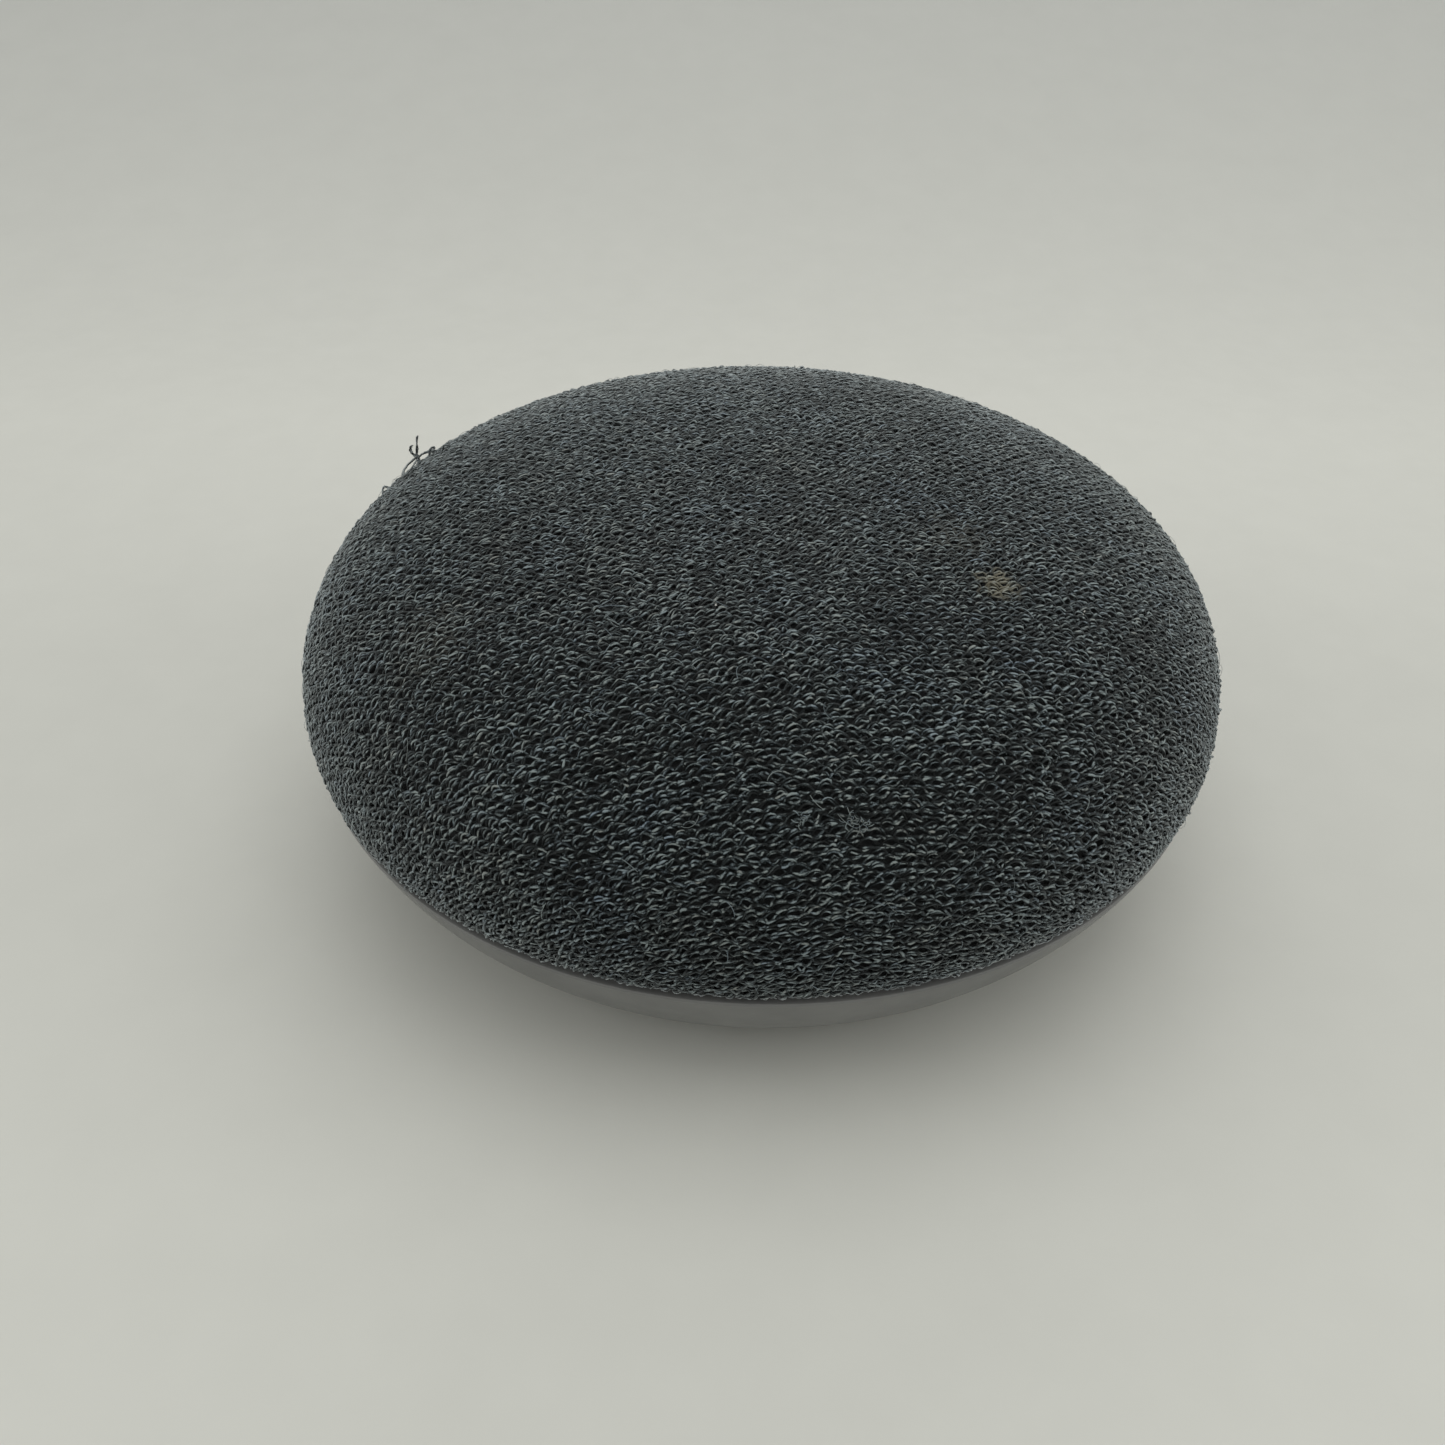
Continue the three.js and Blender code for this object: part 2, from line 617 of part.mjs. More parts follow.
function cone() {
  const { neck, neckZ, edge, edgeZ, thick } = CONE;
  const outline = [[neck, neckZ], [edge, edgeZ], [edge, edgeZ + thick], [neck, neckZ + thick]];
  return turned(outline, 32);
}

function dustCap() {
  const [rim, low, high, thick, steps] = [7.6, 27.2, 29.9, 0.45, 4];
  const arc = (drop) =>
    Array.from({ length: steps + 1 }, (_, i) => {
      const angle = (i / steps) * (Math.PI / 2);
      return [(rim - drop) * Math.cos(angle), low + (high - low - drop) * Math.sin(angle)];
    });
  const [outer, inner] = [arc(0), arc(thick)];
  outer[steps][0] = 0;
  inner[steps][0] = 0;
  return turned([...outer, ...inner.reverse()], SMALL_ROUND);
}

/** The half-roll edge that lets the cone move. */
function surround() {
  const [inner, outer, land, thick, steps] = [16.4, 19.4, 1.8, 0.4, 5];
  const z = DRIVER.top + GAP + thick / 2;
  const [middle, radius] = [(inner + outer) / 2, (outer - inner) / 2];
  const roll = Array.from({ length: steps + 1 }, (_, i) => {
    const angle = (i / steps) * Math.PI;
    return [middle + radius * Math.cos(angle), z + radius * Math.sin(angle)];
  });
  return turned(sheetOutline([[outer + land, z], ...roll, [inner - land, z]], thick), SMALL_ROUND);
}

/** The corrugated disc that centres the coil. */
function spider() {
  const [inner, outer, z, fold, thick, steps] = [6.4, 16.9, 25.2, 0.35, 0.3, 8];
  const waves = Array.from({ length: steps + 1 }, (_, i) => [
    inner + ((outer - inner) * i) / steps,
    z + (i % 2) * fold,
  ]);
  return turned(sheetOutline(waves, thick), SMALL_ROUND);
}

/** From the driver's terminals, down through the grommet, to the connector on the main board. */
function speakerWire(x) {
  const route = [
    [x, -19.4, 25.4],
    [x, -22.4, 25],
    [x, -25, 21.4],
    [x, WIRE.y, 17],
    [x, WIRE.y, 12],
    [x, -26, 9.8],
  ];
  return wire(route, WIRE.radius);
}

function wireGrommet() {
  const top = ENCLOSURE.floor + ENCLOSURE.thick + GAP;
  const body = joined(
    cylinder(2.3, ENCLOSURE.floor - 0.8, top + 0.2, 0, WIRE.y, TINY_ROUND),
    cylinder(3.4, top, top + 0.9, 0, WIRE.y, TINY_ROUND),
  );
  const holes = [-WIRE.x, WIRE.x].map((x) => cylinder(WIRE.radius + 0.35, 10, 20, x, WIRE.y, TINY_ROUND));
  return cutBy(body, ...holes);
}

// ---------------------------------------------------------------- lights, microphones, touch pads

const LIGHT_BOARD = { low: 35, top: 35.9, length: 52, width: 9 };

/** The arch over the driver that carries the light board. */
function lightBracket() {
  const low = LID_TOP_Z + GAP;
  const half = [[35, low], [35, low + 1], [30.5, low + 1], [28, LIGHT_BOARD.low - 0.2]];
  const under = [[27.4, LIGHT_BOARD.low - 1.2], [29.9, low]];
  const mirrored = (side) => side.map(([x, z]) => [-x, z]).reverse();
  return slab([...half, ...mirrored(half), ...mirrored(under), ...under], LIGHT_BOARD.width);
}

function lightBoard() {
  const { low, top, length, width } = LIGHT_BOARD;
  return box([-length / 2, -width / 2, low], [length / 2, width / 2, top]);
}

const onLightBoard = (x, size, height) =>
  box([x - size / 2, -size / 2, LIGHT_BOARD.top + 0.1], [x + size / 2, size / 2, LIGHT_BOARD.top + height]);

/** A clear bar over the lights, with a peg into each light hole of the dome. */
function lightGuide() {
  const bar = box([-11, -1.5, 37], [11, 1.5, 38.3]);
  return joined(bar, ...LED_X.map((x) => cylinder(0.7, 38, 40.4, x, 0, TINY_ROUND)));
}

/** A touch electrode on the inside of the dome, centred on +X or -X by its side. */
function touchPad(side) {
  const depth = SHELL_DEPTH + WALL + 3 * GAP; // clears the facets of the dome
  const [low, high, halfWidth] = [22.5, 30.5, 15];
  const outside = wallPoints(depth, low, high, 4);
  const inside = wallPoints(depth + 0.4, low, high, 4).reverse();
  const window = box([20, -halfWidth, low - 1], [BODY_RADIUS, halfWidth, high + 1]);
  return placed(turned([...outside, ...inside]).intersect(window), { azimuth: side });
}

// ---------------------------------------------------------------- fasteners

/** A pan-head screw standing on its head at a height, with a hexagonal socket. */
function screw(headZ, tipZ, x, y) {
  const shoulder = headZ + SCREW_HEAD.height;
  const body = joined(
    cylinder(SCREW_HEAD.radius, headZ, shoulder, x, y, TINY_ROUND),
    cylinder(SHANK, shoulder - 0.1, tipZ, x, y, TINY_ROUND),
  );
  const socket = cylinder(1, headZ - 1, headZ + 0.8, x, y, 6);
  return cutBy(body, socket);
}

// ---------------------------------------------------------------- assembly

addPiece("fabric_cover", fabricCover(), MATERIALS.knit);
addPiece("fabric_clamp_ring", clampRing(), MATERIALS.darkPlastic);
addPiece("top_shell", topShell(), MATERIALS.darkPlastic);
addPiece("bottom_shell", bottomShell(), MATERIALS.basePlastic);
addPiece("foot_pad", footPad(), MATERIALS.silicone);

addPiece("inlet_board", inletBoard(), MATERIALS.board);
addPiece("power_socket", powerSocket(), MATERIALS.tin);
addPiece("power_socket_tongue", powerTongue(), MATERIALS.chip);

const muteGroup = new THREE.Group();
muteGroup.rotation.z = MUTE.azimuth;
speaker.add(muteGroup);
addPiece("mute_slider", muteSlider(), MATERIALS.basePlastic, muteGroup);
addPiece("mute_label", muteLabel(), MATERIALS.orange, muteGroup);
addPiece("mute_switch_lever", muteLever(), MATERIALS.chip, muteGroup);
addPiece("mute_switch_body", muteSwitchBody(), MATERIALS.tin, muteGroup);

addPiece("reset_button", resetButton(), MATERIALS.basePlastic);
addPiece("reset_switch_plunger", resetPlunger(), MATERIALS.chip);
addPiece("reset_switch_body", resetSwitchBody(), MATERIALS.tin);

addPiece("main_board", mainBoard(), MATERIALS.board);
addPiece("shield_can", shieldCan(), MATERIALS.tin);
addPiece("processor", chip(-5.5, 0, 12, 12, 1.1), MATERIALS.chip);
addPiece("memory_chip", chip(7, 0, 8, 12, 0.9), MATERIALS.chip);
addPiece("radio_module", chip(-23, 6, 9, 12, 1.8), MATERIALS.tin);
addPiece("audio_amplifier", chip(20, -8, 6, 6, 1), MATERIALS.chip);
addPiece("speaker_connector", chip(0, -28.8, 6, 4, 2.6), MATERIALS.diffuser);
addPiece("thermal_pad", thermalPad(), MATERIALS.thermal);
addPiece("inlet_ribbon", inletRibbon(), MATERIALS.ribbon);
addPiece("light_ribbon", lightRibbon(), MATERIALS.ribbon);

addPiece("enclosure_cup", enclosureCup(), MATERIALS.castAlloy);
addPiece("enclosure_gasket", enclosureGasket(), MATERIALS.rubber);
addPiece("enclosure_lid", enclosureLid(), MATERIALS.darkPlastic);
addPiece("speaker_frame", speakerFrame(), MATERIALS.steel);
addPiece("yoke", yoke(), MATERIALS.steel);
addPiece("magnet", magnetRing(), MATERIALS.ferrite);
addPiece("top_plate", topPlate(), MATERIALS.steel);
addPiece("voice_coil", voiceCoil(), MATERIALS.copper);
addPiece("cone", cone(), MATERIALS.paper);
addPiece("dust_cap", dustCap(), MATERIALS.paper);
addPiece("surround", surround(), MATERIALS.rubber);
addPiece("spider", spider(), MATERIALS.spider);
addPiece("speaker_wire_red", speakerWire(WIRE.x), MATERIALS.wireRed);
addPiece("speaker_wire_black", speakerWire(-WIRE.x), MATERIALS.wireBlack);
addPiece("wire_grommet", wireGrommet(), MATERIALS.rubber);

addPiece("light_bracket", lightBracket(), MATERIALS.darkPlastic);
addPiece("light_board", lightBoard(), MATERIALS.board);
LED_X.forEach((x, i) => addPiece(`status_light_${i + 1}`, onLightBoard(x, 2, 0.7), MATERIALS.led));
addPiece("light_guide", lightGuide(), MATERIALS.diffuser);
addPiece("microphone_left", onLightBoard(-MIC_X, 3.4, 1.1), MATERIALS.tin);
addPiece("microphone_right", onLightBoard(MIC_X, 3.4, 1.1), MATERIALS.tin);
addPiece("touch_pad_right", touchPad(0), MATERIALS.ribbon);
addPiece("touch_pad_left", touchPad(Math.PI), MATERIALS.ribbon);

const CASE_HEAD_Z = CASE_SHOULDER_Z - GAP - SCREW_HEAD.height;
const LID_HEAD_Z = ENCLOSURE.flange - GAP - SCREW_HEAD.height;
around(4, Math.PI / 4, 1, (x, y) => [x, y]).forEach(([x, y], i) => {
  const caseScrew = screw(CASE_HEAD_Z, 17.6, x * CASE_SCREW_RADIUS, y * CASE_SCREW_RADIUS);
  const lidScrew = screw(LID_HEAD_Z, LID_TOP_Z + 4.6, x * LID_SCREW_RADIUS, y * LID_SCREW_RADIUS);
  addPiece(`case_screw_${i + 1}`, caseScrew, MATERIALS.steel);
  addPiece(`lid_screw_${i + 1}`, lidScrew, MATERIALS.steel);
});

export default speaker;
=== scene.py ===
"""A pebble-shaped smart speaker in a charcoal knit cover, standing on a pale floor in soft light.

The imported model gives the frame, the inner pieces and their places. What shows is rebuilt here: the knit is
real yarn, laid in courses over the dome, and the base, the foot, the inlet and the slide are smooth pieces
with their own finishes. Lengths are metres, +Z is up, and the front of the speaker looks along -Y.
"""
import json
import math

import bmesh
import bpy
import numpy as np
from mathutils import Matrix, Vector


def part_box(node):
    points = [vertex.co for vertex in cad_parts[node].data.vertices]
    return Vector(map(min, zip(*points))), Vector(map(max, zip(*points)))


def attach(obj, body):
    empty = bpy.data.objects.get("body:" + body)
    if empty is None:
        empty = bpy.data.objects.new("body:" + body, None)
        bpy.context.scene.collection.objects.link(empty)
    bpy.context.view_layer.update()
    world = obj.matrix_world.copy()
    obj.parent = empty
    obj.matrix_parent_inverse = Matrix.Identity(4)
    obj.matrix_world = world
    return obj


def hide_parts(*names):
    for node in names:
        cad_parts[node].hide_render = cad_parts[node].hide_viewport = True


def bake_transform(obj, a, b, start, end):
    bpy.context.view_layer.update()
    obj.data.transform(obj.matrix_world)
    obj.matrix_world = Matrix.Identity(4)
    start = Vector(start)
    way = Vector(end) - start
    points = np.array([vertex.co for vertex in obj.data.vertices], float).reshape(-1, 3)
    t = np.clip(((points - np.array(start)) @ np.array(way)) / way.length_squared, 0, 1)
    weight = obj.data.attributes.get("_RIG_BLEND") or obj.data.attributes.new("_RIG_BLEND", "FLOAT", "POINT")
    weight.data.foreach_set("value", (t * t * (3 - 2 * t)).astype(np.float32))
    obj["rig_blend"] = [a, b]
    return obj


MM = 0.001
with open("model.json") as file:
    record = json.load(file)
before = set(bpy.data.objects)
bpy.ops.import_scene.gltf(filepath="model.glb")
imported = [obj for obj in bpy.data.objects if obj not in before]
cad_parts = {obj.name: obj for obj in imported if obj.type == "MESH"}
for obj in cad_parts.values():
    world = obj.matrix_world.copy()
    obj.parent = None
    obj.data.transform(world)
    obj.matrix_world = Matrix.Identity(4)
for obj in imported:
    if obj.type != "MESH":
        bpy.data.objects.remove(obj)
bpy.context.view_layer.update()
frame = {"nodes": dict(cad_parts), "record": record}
NODES = frame["nodes"]

# ---------- driving dimensions

# The outline: a superellipse above the widest ring and another below it.
BODY_RADIUS = 49 * MM
BODY_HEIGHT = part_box("fabric_cover")[1].z
WIDEST_Z = 19.5 * MM
DOME_POWER = (3.18, 2.24)
BASE_POWER = (1.8, 1.5)
BASE_FOOT_RADIUS = 33.5 * MM
BASE_BOTTOM_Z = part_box("bottom_shell")[0].z

# The knit: a mesh of small holes in a staggered grid, turned a little round on the dome.
HOLE_PITCH = 1.96 * MM  # from hole to hole along a course
COURSE = 0.695 * MM  # from course to course; every second one is shifted by half a pitch
KNIT_TURN = math.radians(10.5)
FLOAT_RADIUS = 0.090 * MM
ARCH_RADIUS = 0.083 * MM
FLOAT_STEPS = 10  # rings of the tube for each pitch
ARCH_STEPS = 11
YARN_SIDES = 4
BAND_COURSES = 8  # courses that share one piece
KNIT_DEPTH = 0.38 * MM  # how deep the yarn's centre lies under the outline
BACKING_DEPTH = 0.92 * MM
BACKING_THICK = 0.12 * MM
HEM_Z = 16.4 * MM
HEM_ROLL = 0.75 * MM

BASE_RIM_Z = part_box("fabric_cover")[0].z - 0.3 * MM


# ---------- camera


def turn(axis, degrees):
    return Matrix.Rotation(math.radians(degrees), 3, axis)


def make_camera():
    """Stands in front of the speaker and looks down at it, a little turned and tilted, as if held by hand."""
    distance = 166.7 * MM
    elevation = math.radians(39.51)
    aim = Vector((0, 0, 18 * MM))
    place = Vector((0, -distance * math.cos(elevation), distance * math.sin(elevation)))
    forward = (aim - place).normalized()
    right = Vector((1, 0, 0))
    level = Matrix((right, right.cross(forward), -forward))
    held = turn("Z", -1.54) @ turn("X", 2.57) @ turn("Y", -1.41) @ level
    camera = bpy.data.cameras.new("camera")
    camera.lens = 34.7
    camera.sensor_width = 36
    camera.clip_start = 5 * MM
    camera.clip_end = 20
    view = bpy.data.objects.new("camera", camera)
    view.matrix_world = Matrix.Translation(place) @ held.transposed().to_4x4()
    bpy.context.scene.collection.objects.link(view)
    bpy.context.scene.camera = view


make_camera()

# ---------- material helpers


def new_material(name, colour, roughness, metallic=0.0, **sockets):
    """A Principled material with constant values. Detail is added to it afterwards."""
    material = bpy.data.materials.new(name)
    material.use_nodes = True
    shader = material.node_tree.nodes["Principled BSDF"]
    shader.inputs["Base Color"].default_value = (*colour, 1)
    shader.inputs["Roughness"].default_value = roughness
    shader.inputs["Metallic"].default_value = metallic
    for socket, value in sockets.items():
        shader.inputs[socket.replace("_", " ")].default_value = value
    return material


def feed(material, socket, value):
    """Links an output to a socket, or gives the socket a constant value."""
    if isinstance(value, bpy.types.NodeSocket):
        material.node_tree.links.new(value, socket)
    else:
        socket.default_value = (*value, 1) if socket.type == "RGBA" else value


def add_node(material, kind, inputs=(), **settings):
    node = material.node_tree.nodes.new(kind)
    for name, value in settings.items():
        setattr(node, name, value)
    for name, value in dict(inputs).items():
        feed(material, node.inputs[name], value)
    return node


def plug(material, socket, output):
    shader = material.node_tree.nodes["Principled BSDF"]
    material.node_tree.links.new(output, shader.inputs[socket])


def object_space(material):
    return add_node(material, "ShaderNodeTexCoord").outputs["Object"]


def noise(material, size, detail=3.0, distortion=0.0):
    """Noise whose features are about one size across, in metres."""
    inputs = {"Vector": object_space(material), "Scale": 1 / size, "Detail": detail, "Distortion": distortion}
    return add_node(material, "ShaderNodeTexNoise", inputs).outputs["Fac"]


def spread(material, value, low, high, from_low=0.3, from_high=0.7):
    inputs = {"Value": value, "From Min": from_low, "From Max": from_high, "To Min": low, "To Max": high}
    return add_node(material, "ShaderNodeMapRange", inputs).outputs["Result"]


def ramp(material, value, stops):
    """A colour ramp through [(position, colour), ...]."""
    node = add_node(material, "ShaderNodeValToRGB", {"Fac": value})
    while len(node.color_ramp.elements) < len(stops):
        node.color_ramp.elements.new(0.5)
    for element, (position, colour) in zip(node.color_ramp.elements, stops):
        element.position = position
        element.color = (*colour, 1)
    return node.outputs["Color"]


def two_tone(material, value, first, second, low=0.3, high=0.7):
    return ramp(material, value, [(low, first), (high, second)])


def mixed(material, share, first, second, blend="MIX"):
    node = add_node(material, "ShaderNodeMix", data_type="RGBA", blend_type=blend)
    sockets = {socket.identifier: socket for socket in [*node.inputs, *node.outputs]}
    for name, value in (("Factor_Float", share), ("A_Color", first), ("B_Color", second)):
        feed(material, sockets[name], value)
    return sockets["Result_Color"]


def maths(material, operation, first, second):
    return add_node(material, "ShaderNodeMath", {0: first, 1: second}, operation=operation).outputs[0]


def attribute(material, name):
    return add_node(material, "ShaderNodeAttribute", attribute_name=name)


def vector_maths(material, operation, inputs):
    return add_node(material, "ShaderNodeVectorMath", inputs, operation=operation).outputs["Vector"]


def roughen(material, height, distance, strength=1.0, normal=None):
    """Bump of a height field, where distance is the depth in metres."""
    inputs = {"Height": height, "Distance": distance, "Strength": strength}
    if normal:
        inputs["Normal"] = normal
    plug(material, "Normal", add_node(material, "ShaderNodeBump", inputs).outputs["Normal"])


def shades(colour, amount):
    return tuple(c * (1 - amount) for c in colour), tuple(min(c * (1 + amount), 1) for c in colour)


def moulded(name, colour, roughness, grain=0.25 * MM, depth=0.006 * MM, mottle=0.06, metallic=0.0):
    """Moulded, cast or pressed stuff: a fine even grain, slight mottling and worn or handled patches."""
    material = new_material(name, colour, roughness, metallic)
    dark, light = shades(colour, mottle)
    patches = noise(material, 9 * MM, 4)
    plug(material, "Base Color", two_tone(material, patches, dark, light))
    handled = noise(material, 4 * MM, 5)
    plug(material, "Roughness", spread(material, handled, roughness - 0.07, roughness + 0.07))
    roughen(material, noise(material, grain, 2), depth)
    return material


# ---------- mesh helpers


def link(name, mesh, material):
    piece = bpy.data.objects.new(name, mesh)
    piece.data.materials.append(material)
    bpy.context.scene.collection.objects.link(piece)
    return piece


def link_bmesh(name, bm, material):
    mesh = bpy.data.meshes.new(name)
    bm.to_mesh(mesh)
    bm.free()
    return link(name, mesh, material)


def smooth(piece, angle=35):
    piece.data.polygons.foreach_set("use_smooth", [True] * len(piece.data.polygons))
    piece.data.set_sharp_from_angle(angle=math.radians(angle))
    return piece


def turned(name, outline, material, segments=192):
    """A closed [radius, height] outline turned about Z. Points on the axis become poles."""
    bm = bmesh.new()
    rings = []
    for radius, z in outline:
        if radius < 1e-7:
            rings.append([bm.verts.new((0, 0, z))] * segments)
            continue
        angles = [2 * math.pi * k / segments for k in range(segments)]
        rings.append([bm.verts.new((radius * math.cos(a), radius * math.sin(a), z)) for a in angles])
    for index, ring in enumerate(rings):
        following = rings[(index + 1) % len(rings)]
        for k in range(segments):
            corners = [ring[k], ring[(k + 1) % segments], following[(k + 1) % segments], following[k]]
            corners = [v for i, v in enumerate(corners) if v not in corners[:i]]
            if len(corners) > 2:
                bm.faces.new(corners)
    bmesh.ops.recalc_face_normals(bm, faces=bm.faces)
    return smooth(link_bmesh(name, bm, material))


def rounded_box(name, size, radius, material, segments=3, place=None):
    """A box with rounded edges, put in place by a 4x4 matrix."""
    bm = bmesh.new()
    bmesh.ops.create_cube(bm, size=1)
    bmesh.ops.scale(bm, vec=size, verts=bm.verts)
    bmesh.ops.bevel(bm, geom=bm.edges[:], offset=radius, segments=segments, profile=0.5, affect="EDGES")
    bmesh.ops.transform(bm, matrix=place or Matrix(), verts=bm.verts)
    return smooth(link_bmesh(name, bm, material))


def post(radius, low, high, x, y, segments=48):
    """A plain upright cylinder, for cutting or joining."""
    bm = bmesh.new()
    middle = Matrix.Translation((x, y, (low + high) / 2))
    bmesh.ops.create_cone(
        bm, cap_ends=True, segments=segments, radius1=radius, radius2=radius, depth=high - low, matrix=middle
    )
    return link_bmesh("post", bm, None)


def combine(piece, tools, operation):
    """Cuts the tools out of a piece, or joins them to it, and removes them."""
    for tool in tools:
        modifier = piece.modifiers.new("combine", "BOOLEAN")
        modifier.operation = operation
        modifier.solver = "EXACT"
        modifier.object = tool
    apply_modifiers(piece)
    for tool in tools:
        bpy.data.objects.remove(tool)
    return piece


def apply_modifiers(piece):
    bpy.context.view_layer.update()
    evaluated = piece.evaluated_get(bpy.context.evaluated_depsgraph_get())
    made = bpy.data.meshes.new_from_object(evaluated)
    piece.modifiers.clear()
    piece.data = made


def soften(piece, width, segments=2, angle=40):
    """Rounds the sharp edges of a piece, a carried-over one among them, without changing its mesh."""
    modifier = piece.modifiers.new("soften", "BEVEL")
    modifier.width = width
    modifier.segments = segments
    modifier.limit_method = "ANGLE"
    modifier.angle_limit = math.radians(angle)


# ---------- the outline of the body


OUTLINE_POINTS = 1500  # on each quarter of the body's outline


def quarter(widest, far, power):
    """A quarter superellipse from the widest ring to its far end."""
    angle = np.linspace(0, math.pi / 2, OUTLINE_POINTS)
    r = far[0] + (widest[0] - far[0]) * np.maximum(np.cos(angle), 0) ** (2 / power[0])
    z = widest[1] + (far[1] - widest[1]) * np.sin(angle) ** (2 / power[1])
    return np.stack([r, z], 1)


WIDEST = (BODY_RADIUS, WIDEST_Z)
DOME_LINE = quarter(WIDEST, (0, BODY_HEIGHT), DOME_POWER)[::-1]
BASE_LINE = quarter(WIDEST, (BASE_FOOT_RADIUS, BASE_BOTTOM_Z), BASE_POWER)
OUTLINE = np.concatenate([DOME_LINE, BASE_LINE[1:]])


def outward(line):
    """Unit normals that point out of the body, for a line that runs from the apex down."""
    along = np.gradient(line, axis=0)
    along /= np.maximum(np.linalg.norm(along, axis=1, keepdims=True), 1e-12)
    across = np.stack([-along[:, 1], along[:, 0]], 1)
    across[0] = (0, 1)
    return across


def inset_line(depth):
    line = OUTLINE - depth * outward(OUTLINE)
    line[0] = (0, OUTLINE[0, 1] - depth)
    return line[line[:, 0] >= 0]


def arc_along(line):
    """The distance along a line at each of its points."""
    steps = np.linalg.norm(np.diff(line, axis=0), axis=1)
    return np.concatenate([[0], np.cumsum(steps)])


def evenly(line, spacing):
    """The same line with its points a spacing apart."""
    arc = arc_along(line)
    count = max(int(arc[-1] / spacing), 2) + 1
    wanted = np.linspace(0, arc[-1], count)
    return np.stack([np.interp(wanted, arc, line[:, axis]) for axis in (0, 1)], 1)


def cloth_line(depth, turn_under=150):
    """The line that the cloth follows: down the dome, over the widest ring, and rolled in at the hem."""
    line = inset_line(depth)
    line = line[line[:, 1] >= HEM_Z]
    along = line[-1] - line[-20]
    along /= np.linalg.norm(along)
    out = np.array([-along[1], along[0]])
    roll = HEM_ROLL - depth / 2
    middle = line[-1] - roll * out
    angles = np.radians(np.linspace(0, turn_under, 24)[1:])[:, None]
    hem = middle + roll * (np.cos(angles) * out + np.sin(angles) * along)
    return evenly(np.concatenate([line, hem]), 0.1 * MM)


class Dome:
    """Wraps the flat cloth over the body: a flat point keeps its distance and direction from the middle."""

    def __init__(self, depth):
        self.line = cloth_line(depth)
        self.normal = outward(self.line)
        self.arc = arc_along(self.line)

    @property
    def reach(self):
        return self.arc[-1]

    def place(self, x, y, height):
        """3-D points, and the outward normals there, of flat points at a height over the cloth."""
        distance = np.hypot(x, y)
        azimuth = np.arctan2(y, x)
        r, z = (np.interp(distance, self.arc, self.line[:, axis]) for axis in (0, 1))
        nr, nz = (np.interp(distance, self.arc, self.normal[:, axis]) for axis in (0, 1))
        length = np.hypot(nr, nz)
        nr, nz = nr / length, nz / length
        r, z = r + height * nr, z + height * nz
        points = np.stack([r * np.cos(azimuth), r * np.sin(azimuth), z], -1)
        normals = np.stack([nr * np.cos(azimuth), nr * np.sin(azimuth), nz], -1)
        return points, normals


CLOTH = Dome(KNIT_DEPTH)

# ---------- the knit


def eased(share):
    return share * share * (3 - 2 * share)


def wander(rng, along, spacing, amplitude):
    """A smooth random walk about zero, along a line."""
    count = int(np.ptp(along) / spacing) + 3
    knots = rng.normal(0, amplitude, count)
    place = (along - along[0]) / spacing
    low = place.astype(int)
    share = eased(place - low)
    return knots[low] * (1 - share) + knots[low + 1] * share


class Patches:
    """A smooth random field over the flat cloth, with features of one size."""

    def __init__(self, rng, size, amplitude):
        self.size = size
        count = int(2 * CLOTH.reach / size) + 6
        self.grid = rng.normal(0, amplitude, (count, count))
        self.middle = count / 2

    def at(self, x, y):
        u, v = x / self.size + self.middle, y / self.size + self.middle
        i, j = np.floor(u).astype(int), np.floor(v).astype(int)
        s, t = eased(u - i), eased(v - j)
        grid = self.grid
        near = grid[i, j] * (1 - s) + grid[i + 1, j] * s
        far = grid[i, j + 1] * (1 - s) + grid[i + 1, j + 1] * s
        return near * (1 - t) + far * t


